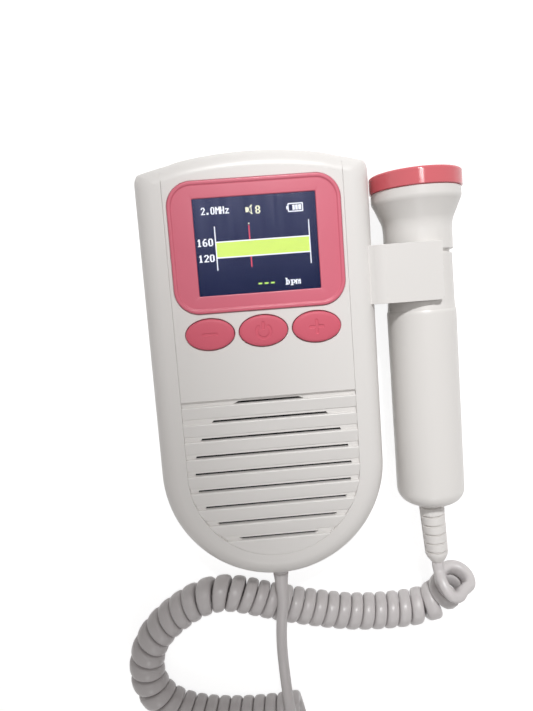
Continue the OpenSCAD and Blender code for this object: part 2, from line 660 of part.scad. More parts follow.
// ---- probe: turned pieces on one leaning axis ----
module at_probe() translate([half_w + probe_off, 0, probe_z]) rotate([0, 0, probe_lean])
    rotate([-90, 0, 0]) children();
base_y = face_y - ring_h;
bore_r = neck_d / 2 - probe_wall;
spigot_y = groove_y + 7;
module face_ring() color([0.85, 0.41, 0.49]) at_probe() rotate_extrude() polygon(concat(
    [[0, face_y + 0.5], [0, face_y - 1.6], [ring_d / 2 - 2.4, face_y - 1.6], [ring_d / 2 - 2.4, base_y],
        [ring_d / 2 - 0.3, base_y], [ring_d / 2, base_y + 0.3]],
    [for (t = [0:15:90]) [ring_d / 2 - ring_r * (1 - cos(t)), face_y - ring_r + ring_r * sin(t)]],
    [[ring_d / 4, face_y + 0.38]]));
rim_y = base_y - rim_h;
module probe_head() color([0.9, 0.88, 0.86]) at_probe() rotate_extrude() polygon(concat(
    [[bore_r, groove_y], [neck_d / 2 - 0.25, groove_y], [neck_d / 2, groove_y + 0.25]],
    bow([neck_d / 2, neck_y - 3], [neck_d / 2 + 0.05, neck_y - 0.3], [neck_d / 2 + 0.75, neck_y + 1.2], 5),
    bow([rim_d / 2 - 0.7, rim_y - 1], [rim_d / 2 - 0.02, rim_y + 0.1], [rim_d / 2, rim_y + 1], 4),
    [[rim_d / 2, base_y], [ring_d / 2 - 2.6, base_y], [ring_d / 2 - 2.6, face_y - 3.6],
        [disc_d / 2 + 1.1, face_y - 3.6], [disc_d / 2 + 1.1, rim_y], [bore_r, neck_y]]));
module probe_grip() color([0.9, 0.88, 0.86]) at_probe() rotate_extrude() polygon(concat(
    [[bore_r - 1.6, spigot_y], [bore_r - 0.1, spigot_y], [bore_r - 0.1, groove_y],
        [neck_d / 2 - 1.2, groove_y], [neck_d / 2 - 1.2, groove_y - groove_h],
        [waist_d / 2 - 0.3, groove_y - groove_h], [waist_d / 2, groove_y - groove_h - 0.3],
        [waist_d / 2, clip_y + clip_h / 2]],
    bow([waist_d / 2 + 0.1, waist_y + 1.6], [waist_d / 2 + 0.2, waist_y + 0.2],
        [grip_d / 2 - 0.3, waist_y - 0.1], 3),
    bow([grip_d / 2 - 0.2, waist_y - 0.25], [grip_d / 2, waist_y - 0.6], [grip_d / 2, waist_y - 1.6], 3),
    [for (t = [0:10:80]) [grip_d / 2 - grip_r * (1 - cos(t)), grip_y + grip_r + 0.5 - grip_r * sin(t)]],
    [[boot_d / 2 + 1, grip_y + 0.1], [boot_d / 2 + 0.6, grip_y], [plug_r + 0.2, grip_y],
        [plug_r + 0.2, grip_y + 2.4], [bore_r - 3, grip_y + 2.4],
        [bore_r - 1.6, grip_y + grip_r + 2]]));
module sound_discs() color([0.8, 0.75, 0.5]) at_probe() for (s = [0, 180]) rotate([0, 0, s])
    translate([0.3, 0, face_y - 2.4]) intersection() {
        cylinder(d = disc_d, h = 0.8);
        translate([0, -disc_d, -1]) cube([disc_d, 2 * disc_d, 3]);
    }
module disc_backing() color([0.25, 0.25, 0.28]) at_probe() translate([0, 0, rim_y + 0.2])
    cylinder(d = disc_d + 2, h = face_y - 2.4 - rim_y - 0.2);
module probe_board() color([0.1, 0.35, 0.2]) at_probe() {
    translate([-pboard_w / 2, -pboard_t / 2, pboard_y]) cube([pboard_w, pboard_t, neck_y - pboard_y]);
    translate([-pboard_w / 4, pboard_t / 2 - e, pboard_y + pboard_w]) cube([pboard_w / 2, pboard_t, 12]);
}

// ---- strain reliefs ----
plug_r = boot_d / 2 - 1.6;
// point and unit direction of the cord at the ribbed sleeve's end
lean2 = probe_lean + boot_lean;
boot_top = [half_w + probe_off - grip_y * sin(probe_lean), grip_y * cos(probe_lean), probe_z];
boot_dir = [sin(lean2), -cos(lean2), 0];
boot_end = boot_top + (boot_l + 0.25) * boot_dir;
function boot_rad(w) = w < boot_l - 3.4 ? (boot_d + (boot_d2 - boot_d) * w / (boot_l - 3.4)) / 2
    : boot_d2 / 2 - (boot_d2 / 2 - cord_d / 2 - 0.6) * pow((w - boot_l + 3.4) / 3.4, 1.4);
// two facing grooves at height w, with a web between their ends
module boot_grooves(w) difference() {
    translate([0, 0, w]) cylinder(r = boot_d, h = boot_groove);
    translate([0, 0, w - 1]) cylinder(r = boot_rad(w) - boot_deep, h = boot_groove + 2);
    translate([-boot_d, -boot_web / 2, w - 1]) cube([2 * boot_d, boot_web, boot_groove + 2]);
}
// two flats in those webs, from one groove to the next
module boot_flats(w, l) for (s = [0, 180]) rotate(s)
    translate([boot_rad(w) - boot_flat, -boot_d / 2, w]) cube([boot_d, boot_d, l]);
module probe_boot() color([0.86, 0.84, 0.83]) translate(boot_top + 0.25 * boot_dir)
    rotate([0, 0, lean2]) rotate([90, 0, 0]) {
        difference() {
            rotate_extrude() polygon(concat([[0, 0], [boot_rad(0) - 0.2, 0], [boot_rad(0), 0.2]],
                [for (k = [0:6]) let (w = boot_l - 3.4 + 3.4 * k / 6) [boot_rad(w), w]],
                [[0, boot_l]]));
            for (k = [0:boot_n - 1]) boot_grooves(0.65 + k * boot_pitch);
            for (k = [0:boot_n - 2])
                boot_flats(1.1 + boot_groove + k * boot_pitch, boot_pitch - boot_groove - 0.9);
        }
        translate([0, 0, -3]) cylinder(r = plug_r, h = 3 + e);
        translate([0, 0, -4]) cylinder(r = plug_r + 1.1, h = 1);
    }
wall_y = -tail_y - tail_h;
lead_y = wall_y - sleeve_l;
module unit_sleeve() color([0.82, 0.8, 0.8]) translate([0, 0, lead_z]) {
    translate([0, wall_y, 0]) rotate([90, 0, 0])
        cylinder(r1 = sleeve_d / 2 + 0.15, r2 = cord_d / 2 + 0.15, h = sleeve_l);
    rod_y([0, wall_y - e, 0], sleeve_d / 2 - 0.1, wall + 0.8 + e);
    rod_y([0, wall_y + wall + 0.6, 0], sleeve_d / 2 + 1.2, 1.4);
}

// ---- curly cord ----
// middle line of the coil from its open end near the probe to the unit's end:
// control points of a smooth spline
route = [[67.6, -78.4, 20.8], [66.2, -82.6, 17], [64.9, -87.2, 13.2], [62.8, -92.8, 9.8],
    [58.6, -98, 7.6], [51, -99.8, 7], [40, -100, 7], [28, -99.4, 7], [16, -97, 7], [4, -94, 7],
    [-8, -90.4, 7], [-18, -86.8, 7], [-28, -86.4, 7], [-37, -90.6, 7], [-45.5, -96.2, 7],
    [-52, -103.5, 7], [-54.8, -112.5, 7], [-53.8, -122, 7], [-48, -130, 7], [-38.5, -135, 7],
    [-26, -137.6, 7], [-13, -138.6, 7], [-2, -138.4, 7], [9, -137.8, 7], [20, -136.6, 7]];
// lead from the unit's sleeve over the coil and down round the coil's end
lead_route = [[-0.4, -90, 17.2], [-1, -94.5, 17.1], [-1.4, -99.5, 16.6], [-1.6, -105.5, 15.8],
    [-1.5, -112, 15.1], [-1.2, -119, 15.3], [-0.8, -125, 16], [-0.4, -129.5, 16.7]];
// the lead's last stretch, over the coil's end and down into the last curl
last_route = [[0, -133.5, 17.2], [0.8, -137, 17.6], [2.6, -140.4, 17], [4.6, -142.8, 14.8],
    [5.9, -143.4, 11.7]];
// from the coil's open end up to the ribbed sleeve
first_route = [[63.8, -88.6, 21.7], [61, -87.6, 21.8], [59, -84, 19.6]];
sub = 16;
route_n = len(route) - 3;
function spline(i, t) = ((1 - t) * (1 - t) * (1 - t) * route[i]
    + (3 * t * t * t - 6 * t * t + 4) * route[i + 1]
    + (-3 * t * t * t + 3 * t * t + 3 * t + 1) * route[i + 2] + t * t * t * route[i + 3]) / 6;
mid = [for (i = [0:route_n - 1]) for (j = [0:sub - 1]) spline(i, j / sub)];
mid_n = len(mid);
mid_s = [for (i = 0, s = 0; i < mid_n; s = s + (i + 1 < mid_n ? norm(mid[i + 1] - mid[i]) : 0), i = i + 1) s];
function unit(v) = v / norm(v);
mid_t = [for (i = [0:mid_n - 1]) unit(mid[min(i + 1, mid_n - 1)] - mid[max(i - 1, 0)])];
mid_k = [for (i = [0:mid_n - 1]) let (a = max(i - 6, 0), b = min(i + 6, mid_n - 1))
    norm(mid_t[b] - mid_t[a]) / max(0.1, mid_s[b] - mid_s[a])];
tab_x = [for (i = [0:mid_n - 1]) [mid_s[i], mid[i][0]]];
tab_y = [for (i = [0:mid_n - 1]) [mid_s[i], mid[i][1]]];
tab_z = [for (i = [0:mid_n - 1]) [mid_s[i], mid[i][2]]];
tab_k = [for (i = [0:mid_n - 1]) [mid_s[i], mid_k[i]]];
function mid_at(s) = [lookup(s, tab_x), lookup(s, tab_y), lookup(s, tab_z)];
curl_rings = 8;
pitch = cord_d + curl_gap;
function pitch_at(s) = pitch / (1 - min(0.5, coil_r * lookup(s, tab_k)));
s_end = mid_s[mid_n - 1];
ring_s = [for (s = 2.2; s < s_end - 2; s = s + pitch_at(s) / curl_rings) s];
curl_steps = curl_rings * floor(len(ring_s) / curl_rings) - 2;
start_a = -20;
// cord's middle and outward direction at step k; the coil winds left-handed
function ring_dir(k) = let (s = ring_s[k], t = unit(mid_at(s + 0.4) - mid_at(s - 0.4)),
    up = unit([0, 0, 1] - t[2] * t), side = cross(t, up), a = start_a - 360 * k / curl_rings)
    cos(a) * up + sin(a) * side;
function coil_rad(s) = coil_r + coil_flare * max(0, 1 - s / 10);
curl_pts = [for (k = [curl_steps:-1:0]) mid_at(ring_s[k]) + coil_rad(ring_s[k]) * ring_dir(k)];

// smooth line through points
function through(p, n) = [for (i = [1:len(p) - 3]) for (j = [0:n - 1]) let (t = j / n)
    0.5 * (2 * p[i] + t * (p[i + 1] - p[i - 1]) + t * t * (2 * p[i - 1] - 5 * p[i] + 4 * p[i + 1] - p[i + 2])
        + t * t * t * (-p[i - 1] + 3 * p[i] - 3 * p[i + 1] + p[i + 2]))];
lead_a = [0, lead_y, lead_z];
join_a = lead_route[len(lead_route) - 1];
lead_line = concat([lead_a, lead_a - [0, cord_d, 0]],
    through(concat([lead_a - [0, cord_d, 0]], [for (p = lead_route) p], [last_route[0]]), 1),
    [join_a]);
join_dir = unit(last_route[0] - join_a);
last_line = concat([join_a, join_a + 1.1 * cord_d * join_dir],
    [for (i = [1:len(last_route) - 1]) last_route[i]]);
boot_a = boot_end + cord_d * boot_dir;
first_line = concat([for (p = first_route) p], [boot_a, boot_end]);
coil_line = concat(last_line, curl_pts, first_line);

// tube of n sides through points, its ring directions carried along without twist
function tangents(p) = [for (i = [0:len(p) - 1]) i == 0 ? unit(p[1] - p[0])
    : i == len(p) - 1 ? unit(p[i] - p[i - 1]) : unit(unit(p[i + 1] - p[i]) + unit(p[i] - p[i - 1]))];
function carried(t) = [for (i = 0, v = unit(cross(t[0], [0.3, 0.2, 0.93])); i < len(t);
    v = i + 1 < len(t) ? unit(v - (v * t[i + 1]) * t[i + 1]) : v, i = i + 1) v];
function tube_points(p, d, n) = let (t = tangents(p), v = carried(t))
    [for (i = [0:len(p) - 1]) let (w = cross(t[i], v[i])) for (j = [0:n - 1])
        let (a = 360 * j / n) p[i] + d / 2 * (cos(a) * v[i] + sin(a) * w)];
module tube(p, d, n) {
    m = len(p);
    polyhedron(tube_points(p, d, n), concat([[for (j = [0:n - 1]) j]],
        [for (i = [0:m - 2]) for (j = [0:n - 1])
            let (a = i * n + j, b = i * n + (j + 1) % n)
            each [[a, a + n, b + n], [a, b + n, b]]],
        [[for (j = [n - 1:-1:0]) (m - 1) * n + j]]));
}
coil_pts = tube_points(coil_line, cord_d, 6);
coil_m = len(coil_line);
// least distance between two places of the tube's surface more than 5 rings apart
near = [for (i = [0:coil_m - 7]) for (j = [i + 6:min(coil_m - 1, i + 40)])
    if (norm(coil_line[i] - coil_line[j]) < cord_d + 2)
    min([for (a = [0:5]) for (b = [0:5]) norm(coil_pts[6 * i + a] - coil_pts[6 * j + b])])];
cord_len = function (p) [for (i = 1, s = 0; i <= len(p); s = s + (i < len(p) ? norm(p[i] - p[i - 1]) : 0),
    i = i + 1) s][len(p) - 1];
union() {  // cord_coil
    echo(curls = curl_steps / curl_rings, least_gap = min(near), least_middle = min([for (i = [0:coil_m - 7])
        for (j = [i + 6:min(coil_m - 1, i + 40)]) norm(coil_line[i] - coil_line[j])]));
    echo(coil_length = cord_len(coil_line), lead_length = cord_len(lead_line), boot_end = boot_end);
}
module cord_coil() color([0.72, 0.7, 0.71]) tube(coil_line, cord_d, 6);
module cord_lead() color([0.72, 0.7, 0.71]) tube(lead_line, cord_d, 10);

rear_casing();
front_casing();
front_panel();
screen_bezel();
display_window();
lcd_panel();
minus_key();
power_key();
plus_key();
key_switches();
main_board();
dust_cloth();
speaker_frame();
speaker_cone();
speaker_magnet();
left_cell();
right_cell();
battery_contacts();
battery_door();
casing_screws();
earphone_socket();
probe_clip();
clip_screws();
face_ring();
probe_head();
probe_grip();
sound_discs();
disc_backing();
probe_board();
probe_boot();
unit_sleeve();
cord_lead();
cord_coil();
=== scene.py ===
"""Looks of a handheld heartbeat monitor: body, screen, keys, louvres, clip-on probe and curly cord.

Sizes are millimetres in the maker's frame and become metres where a mesh is made.
"""
import math

import bmesh
import bpy
from mathutils import Matrix, Vector


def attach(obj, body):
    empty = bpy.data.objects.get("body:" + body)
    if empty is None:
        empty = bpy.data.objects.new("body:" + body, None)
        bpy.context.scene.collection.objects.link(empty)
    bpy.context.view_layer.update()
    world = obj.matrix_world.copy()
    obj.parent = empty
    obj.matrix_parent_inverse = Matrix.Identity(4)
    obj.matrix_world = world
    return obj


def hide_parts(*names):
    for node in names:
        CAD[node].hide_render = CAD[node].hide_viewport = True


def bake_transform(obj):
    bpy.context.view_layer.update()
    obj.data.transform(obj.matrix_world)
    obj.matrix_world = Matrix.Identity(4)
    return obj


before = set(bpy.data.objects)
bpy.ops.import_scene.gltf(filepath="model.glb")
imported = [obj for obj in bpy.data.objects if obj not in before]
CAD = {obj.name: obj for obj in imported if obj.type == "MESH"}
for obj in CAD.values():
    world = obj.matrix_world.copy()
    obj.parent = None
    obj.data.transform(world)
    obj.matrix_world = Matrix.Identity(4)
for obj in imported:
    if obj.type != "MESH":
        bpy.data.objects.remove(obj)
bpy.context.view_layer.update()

MM = 0.001
SAME_POINT = 2e-6

# ---- sizes, as on the drawing ----
HALF_W, FRONT_Z, TOP_Y = 39.6, 29.6, 74.8
TAIL_Y, TAIL_H, TOP_R, CORNER_W, CORNER_H = 33.0, 41.8, 136.0, 2.0, 4.0
EDGE_R, SPLIT_Z, WALL = 5.5, 14.0, 2.2
SIDE_LEAN, TAIL_LEAN, TOP_LEAN, LEAN_POWER = 1.3, 3.1, 1.6, 1.3
SEAM_X, PANEL_TAIL, PANEL_T, CROWN, SEAM = 29.15, 29.6, 2.2, 0.4, 0.03
SLATS, SLAT_PITCH, SLAT_Y, RECESS, DIP, STEP = 9, 5.92, -7.4, 1.7, 0.8, 0.4
SLOT_W, GRILLE_R = 0.8, 26.6
GRILLE_Y = SLAT_Y - (SLATS - 1) / 2 * SLAT_PITCH - 1.85
BEZEL_W, BEZEL_H, BEZEL_Y, BEZEL_R, BEZEL_RISE, BEZEL_SEAT = 55.8, 42.2, 42.6, 8.0, 0.8, 1.5
SCREEN_W, SCREEN_H, LCD_TOP = 39.6, 31.0, 27.25
WINDOW_W, WINDOW_H = SCREEN_W + 3.5, SCREEN_H + 3.5
KEY_W, KEY_H, KEY_PITCH, KEY_Y, KEY_RISE, KEY_GAP = 15.8, 10.1, 17.5, 14.65, 1.0, 0.25
KEY_XS = (-KEY_PITCH, 0.0, KEY_PITCH)
CLIP_Y, CLIP_H, CLIP_T, ARM_HALF = 20.3, 19.3, 1.8, 12.0
LIP_REACH, LIP_DROP, LIP_BEND = 3.4, 2.3, 1.9
PROBE_X, PROBE_Z, LEAN = HALF_W + 17.15, 16.3, 0.4
FACE_Y, RING_H, RING_D, RIM_D, RIM_H = 63.4, 5.7, 31.4, 30.4, 3.7
NECK_Y, NECK_D, GROOVE_Y, GROOVE_H = 47.0, 23.4, 37.0, 1.1
WAIST_D, WAIST_Y, GRIP_D, GRIP_Y, GRIP_R = 22.6, 17.0, 23.8, -53.7, 5.5
BOOT_L, BOOT_D, BOOT_D2, BOOT_N, BOOT_PITCH, BOOT_LEAN, BOOT_GAP = 22.7, 9.0, 8.2, 6, 3.46, 3.2, 0.25
CORD_D, COIL_R, CURL_GAP, COIL_FLARE = 4.05, 4.76, 0.55, 0.6
LEAD_Z, SLEEVE_L, SLEEVE_D = 17.4, 7.2, 5.4


# ---- node and mesh helpers ----
def put(tree, node, values):
    """Sets a node's inputs; a value is a number, a colour or another node's socket."""
    for key, value in values.items():
        if isinstance(value, bpy.types.NodeSocket):
            tree.links.new(value, node.inputs[key])
        else:
            node.inputs[key].default_value = value


def add(tree, kind, values=None, **settings):
    """A new node with its settings and inputs."""
    node = tree.nodes.new(kind)
    for key, value in settings.items():
        setattr(node, key, value)
    put(tree, node, values or {})
    return node


def spin(degrees, axis):
    return Matrix.Rotation(math.radians(degrees), 4, axis)


def limited(value):
    """The value, held between 0 and 1."""
    return min(1.0, max(0.0, value))


def eased(t):
    """A share from 0 to 1 with soft ends."""
    return t * t * (3 - 2 * t)


def placed(name, mesh):
    piece = bpy.data.objects.new(name, mesh)
    bpy.context.scene.collection.objects.link(piece)
    return piece


def shade(piece, sharp=35.0):
    piece.data.shade_smooth()
    piece.data.set_sharp_from_angle(angle=math.radians(sharp))
    return piece


def plain(piece, even=True):
    """The piece's modifiers become part of its mesh."""
    if even:
        piece.modifiers.new("even_light", "WEIGHTED_NORMAL").keep_sharp = True
    graph = bpy.context.evaluated_depsgraph_get()
    mesh = bpy.data.meshes.new_from_object(piece.evaluated_get(graph), depsgraph=graph)
    piece.modifiers.clear()
    piece.data = mesh
    return piece


def mesh_piece(name, points, faces, sharp=35.0):
    mesh = bpy.data.meshes.new(name)
    mesh.from_pydata([(x * MM, y * MM, z * MM) for x, y, z in points], [], faces)
    mesh.validate()
    return shade(placed(name, mesh), sharp)


def skin(name, rings, caps=(True, True), sharp=35.0):
    """A closed skin over rings of equal point count."""
    n = len(rings[0])
    points = [p for ring in rings for p in ring]
    faces = [(j * n + i, j * n + (i + 1) % n, (j + 1) * n + (i + 1) % n, (j + 1) * n + i)
             for j in range(len(rings) - 1) for i in range(n)]
    if caps[0]:
        faces.append(tuple(range(n - 1, -1, -1)))
    if caps[1]:
        faces.append(tuple((len(rings) - 1) * n + i for i in range(n)))
    piece = mesh_piece(name, points, faces, sharp)
    return outward(piece, sharp)


def outward(piece, sharp=35.0):
    """Merges points that coincide and turns every face outwards."""
    work = bmesh.new()
    work.from_mesh(piece.data)
    bmesh.ops.remove_doubles(work, verts=work.verts, dist=SAME_POINT / 2)
    bmesh.ops.recalc_face_normals(work, faces=work.faces)
    work.to_mesh(piece.data)
    work.free()
    return shade(piece, sharp)


def turned(name, profile, place, n=96, sharp=35.0):
    """A turned piece: profile is [radius, height] pairs from one pole to the other."""
    rings = [[place @ Vector((r * c, r * s, h)) for c, s in circle(n)] for r, h in profile]
    return skin(name, rings, (True, True), sharp)


def prism(name, outline, place, depth, sharp=35.0):
    """An outline pushed along the third axis of place."""
    rings = [[place @ Vector((x, y, z)) for x, y in outline] for z in (0, depth)]
    return skin(name, rings, (True, True), sharp)


def arc(cx, cy, r, start, end, n):
    return [(cx + r * math.cos(math.radians(start + (end - start) * i / n)),
             cy + r * math.sin(math.radians(start + (end - start) * i / n))) for i in range(n + 1)]


def rounded(w, h, r, n=10):
    """Rounded rectangle, the same point count for any size."""
    r = max(r, 0.02)
    x, y = w / 2 - r, h / 2 - r
    return (arc(x, y, r, 0, 90, n) + arc(-x, y, r, 90, 180, n)
            + arc(-x, -y, r, 180, 270, n) + arc(x, -y, r, 270, 360, n))


def circle(n):
    """Cosine and sine of n even turns."""
    return [(math.cos(2 * math.pi * i / n), math.sin(2 * math.pi * i / n)) for i in range(n)]


def oval(w, h, n=96):
    return [(w / 2 * c, h / 2 * s) for c, s in circle(n)]


def cut(piece, *tools):
    """Takes the tools away from the piece."""
    for tool in tools:
        mod = piece.modifiers.new("cut", "BOOLEAN")
        mod.operation, mod.solver, mod.object = "DIFFERENCE", "EXACT", tool
    plain(piece, even=False)
    for tool in tools:
        bpy.data.objects.remove(tool)
    return piece


def keep_common(piece, tool, operation="INTERSECT"):
    """Keeps what the piece and the tool share."""
    mod = piece.modifiers.new("common", "BOOLEAN")
    mod.operation, mod.solver, mod.object = operation, "EXACT", tool
    plain(piece, even=False)
    bpy.data.objects.remove(tool)
    return piece


def join(piece, tool):
    """Adds the tool's form to the piece."""
    return keep_common(piece, tool, "UNION")


def softened(piece, width, segments=3, angle=40.0, sharp=35.0):
    """Rounds the edges where faces meet at more than the angle."""
    mod = piece.modifiers.new("soft_edges", "BEVEL")
    mod.width, mod.segments, mod.limit_method = width * MM, segments, "ANGLE"
    mod.angle_limit = math.radians(angle)
    mod.use_clamp_overlap = True
    plain(piece, even=False)
    shade(piece, sharp)
    return plain(piece)


def cleaned(piece):
    """Merges points that coincide and faces that lie in one plane."""
    work = bmesh.new()
    work.from_mesh(piece.data)
    bmesh.ops.remove_doubles(work, verts=work.verts, dist=SAME_POINT)
    bmesh.ops.dissolve_limit(work, angle_limit=math.radians(0.6), verts=work.verts, edges=work.edges)
    work.to_mesh(piece.data)
    work.free()
    return piece


def refined(node, edge=0.0, name=None):
    """A drawn part's copy with merged points, even light and softened edges."""
    piece = shade(cleaned(placed(name or node + "_finished", CAD[node].data.copy())))
    return softened(piece, edge) if edge else plain(piece)


def finish(piece, body, slot, look, *nodes):
    """Gives a piece its finish and fixes it to its body; nodes are the drawn parts that it stands for."""
    piece.data.materials.clear()
    for each in look if isinstance(look, (list, tuple)) else [look]:
        piece.data.materials.append(each)
    if nodes:
        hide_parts(*nodes)
    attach(piece, body)
    return piece


# ---- finishes ----
def new_look(name):
    """A material, its node tree, its main shader and the object's coordinates."""
    look = bpy.data.materials.new(name)
    look.use_nodes = True
    tree = look.node_tree
    return look, tree, tree.nodes["Principled BSDF"], add(tree, "ShaderNodeTexCoord").outputs["Object"]


def two_tone(tree, share, deep, colour, start=0.0, end=1.0):
    """A colour between two tones."""
    ramp = add(tree, "ShaderNodeValToRGB", {0: share})
    for stop, place, tone in zip(ramp.color_ramp.elements, (start, end), (deep, colour)):
        stop.position, stop.color = place, (*tone, 1)
    return ramp.outputs["Color"]


def darker(colour, share):
    return [share * c for c in colour]


def moulded(name, colour, deep, rough, patch=9.0, grain=2600.0, depth=0.012, spec=0.5):
    """Moulded plastic or rubber: two near colours in soft patches, uneven gloss and a fine spark texture."""
    look, tree, base, at = new_look(name)
    cloud = add(tree, "ShaderNodeTexNoise", {"Vector": at, "Scale": patch, "Detail": 1.0, "Roughness": 0.4})
    haze = add(tree, "ShaderNodeTexNoise", {"Vector": at, "Scale": patch * 5, "Detail": 1.0})
    gloss = add(tree, "ShaderNodeMapRange", {"Value": haze.outputs["Fac"], "From Min": 0.3, "From Max": 0.7,
                                             "To Min": rough - 0.02, "To Max": rough + 0.02})
    spark = add(tree, "ShaderNodeTexNoise", {"Vector": at, "Scale": grain, "Detail": 2.0, "Roughness": 0.6})
    bump = add(tree, "ShaderNodeBump", {"Height": spark.outputs["Fac"], "Strength": 0.35,
                                        "Distance": depth * MM})
    put(tree, base, {"Base Color": two_tone(tree, cloud.outputs["Fac"], deep, colour, 0.2, 0.8),
                     "Roughness": gloss.outputs["Result"], "Normal": bump.outputs["Normal"],
                     "Specular IOR Level": spec})
    return look


def metal(name, colour, rough):
    """Brushed or plated metal."""
    look, tree, base, at = new_look(name)
    along = add(tree, "ShaderNodeMapping", {"Vector": at, "Scale": (900.0, 30.0, 900.0)})
    lines = add(tree, "ShaderNodeTexNoise", {"Vector": along.outputs["Vector"], "Scale": 4.0, "Detail": 3.0})
    gloss = add(tree, "ShaderNodeMapRange", {"Value": lines.outputs["Fac"], "To Min": rough,
                                             "To Max": rough + 0.15})
    put(tree, base, {"Base Color": two_tone(tree, lines.outputs["Fac"], darker(colour, 0.8), colour),
                     "Roughness": gloss.outputs["Result"], "Metallic": 1.0})
    return look


def woven(name, colour, thread):
    """Fine cloth: crossed threads from two wave patterns."""
    look, tree, base, at = new_look(name)
    waves = [add(tree, "ShaderNodeTexWave", {"Vector": at, "Scale": thread, "Distortion": 0.4},
                 bands_direction=d).outputs["Fac"] for d in "XY"]
    weave = add(tree, "ShaderNodeMath", {0: waves[0], 1: waves[1]}, operation="MULTIPLY")
    bump = add(tree, "ShaderNodeBump", {"Height": weave.outputs[0], "Strength": 0.6, "Distance": 0.0001})
    put(tree, base, {"Base Color": two_tone(tree, weave.outputs[0], darker(colour, 0.4), colour),
                     "Normal": bump.outputs["Normal"], "Roughness": 0.85})
    return look


def glow(name, colour, strength):
    """Lit picture elements with a faint grid of dots."""
    look, tree, base, at = new_look(name)
    dots = add(tree, "ShaderNodeTexWave", {"Vector": at, "Scale": 1400.0}, bands_direction="Y")
    put(tree, base, {"Base Color": (0.01, 0.012, 0.03, 1), "Roughness": 0.6, "Specular IOR Level": 0.0,
                     "Emission Color": two_tone(tree, dots.outputs["Fac"], darker(colour, 0.93), colour),
                     "Emission Strength": strength})
    return look


SHELL = moulded("warm_white_shell", (0.80, 0.783, 0.765), (0.785, 0.767, 0.748), 0.36, depth=0.01)
SHELL_BACK = moulded("warm_white_back", (0.77, 0.745, 0.71), (0.74, 0.715, 0.68),
                     0.46, grain=1900.0, depth=0.03)
PROBE_SHELL = moulded("probe_white", (0.80, 0.783, 0.763), (0.788, 0.77, 0.748), 0.33, depth=0.008)
ROSE = moulded("rose_plastic", (0.70, 0.150, 0.215), (0.655, 0.135, 0.195), 0.33, patch=40.0, depth=0.01)
ROSE_GLOSS = moulded("rose_gloss", (0.70, 0.115, 0.14), (0.67, 0.105, 0.13),
                     0.13, patch=40.0, depth=0.002, spec=0.8)
ROSE_KEY = moulded("rose_key", (0.69, 0.130, 0.185), (0.66, 0.12, 0.172),
                   0.48, patch=60.0, depth=0.014, spec=0.3)
SLEEVE = moulded("white_elastomer", (0.79, 0.77, 0.752), (0.77, 0.75, 0.732), 0.5, grain=1500.0, depth=0.02)
CORD = moulded("grey_cord", (0.63, 0.605, 0.605), (0.60, 0.575, 0.578),
               0.31, patch=30.0, grain=1200.0, depth=0.012)
BLACK = moulded("black_plastic", (0.03, 0.03, 0.032), (0.022, 0.022, 0.025), 0.5)
BOARD = moulded("green_board", (0.03, 0.16, 0.07), (0.025, 0.12, 0.055), 0.4, patch=300.0, depth=0.02)
CELL = moulded("printed_can", (0.10, 0.11, 0.13), (0.07, 0.08, 0.10), 0.3, depth=0.006)
PAPER = moulded("paper_cone", (0.05, 0.05, 0.055), (0.035, 0.035, 0.04), 0.8, grain=900.0, depth=0.08)
CERAMIC = moulded("silvered_ceramic", (0.62, 0.55, 0.42), (0.56, 0.5, 0.38), 0.35)
MAGNET = metal("plated_iron", (0.42, 0.42, 0.44), 0.35)
NICKEL = metal("nickel_spring", (0.72, 0.71, 0.68), 0.25)
ZINC = metal("zinc_screw", (0.62, 0.62, 0.63), 0.3)
CLOTH = woven("dust_cloth", (0.02, 0.019, 0.021), 1500.0)


# ---- camera, light and ground ----
EYE = Vector((-6.116, 27.335, 216.932))
EYE_TURNS = (("Z", 0.0794020), ("Y", 0.0342207), ("X", 0.1117449))
BEAM_DEGREES = 30.6
ROOM_LIGHT, TABLE_GLOW, TABLE_SHARE = 0.295, 0.88, 0.42


def camera():
    lens = bpy.data.cameras.new("photo_camera")
    lens.lens, lens.sensor_width, lens.sensor_fit = 28.97, 36.0, "AUTO"
    lens.clip_start, lens.clip_end = 0.01, 20.0
    turn = Matrix.Identity(3)
    for axis, angle in EYE_TURNS:
        turn = turn @ Matrix.Rotation(angle, 3, axis)
    stand = placed("photo_camera", lens)
    stand.matrix_world = Matrix.Translation(EYE * MM) @ turn.transposed().to_4x4()
    bpy.context.scene.camera = stand


def lamps():
    """A beam from the head end that fades towards the lower left, a small panel above and one at the foot."""
    for name, kind, spot, aim, size, deep, power in (
            ("head_lamp", "SPOT", (0.071, 0.92, 1.242), (0.31, 0.198, 0.0), 0.06, 0.1, 66.0),
            ("ceiling_panel", "AREA", (0.06, 0.30, 1.2), (0.03, 0.05, 0.0), 0.20, 0.09, 0.9),
            ("foot_panel", "AREA", (0.02, -0.49, 0.55), (0.01, -0.03, 0.0), 0.13, 0.16, 0.35)):
        lamp = bpy.data.lights.new(name, kind)
        lamp.energy = power
        if kind == "SPOT":
            lamp.spot_size, lamp.spot_blend, lamp.shadow_soft_size = math.radians(BEAM_DEGREES), deep, size
        else:
            lamp.shape, lamp.size, lamp.size_y = "RECTANGLE", size, deep
        stand = placed(name, lamp)
        stand.location = spot
        stand.rotation_euler = (Vector(aim) - Vector(spot)).to_track_quat("-Z", "Y").to_euler()


def seen_ray(tree):
    """1 on camera, transmission and glossy rays, else 0."""
    ray = add(tree, "ShaderNodeLightPath").outputs
    seen = ray["Is Camera Ray"]
    for kind in ("Is Transmission Ray", "Is Glossy Ray"):
        seen = add(tree, "ShaderNodeMath", {0: seen, 1: ray[kind]}, operation="MAXIMUM").outputs[0]
    return seen


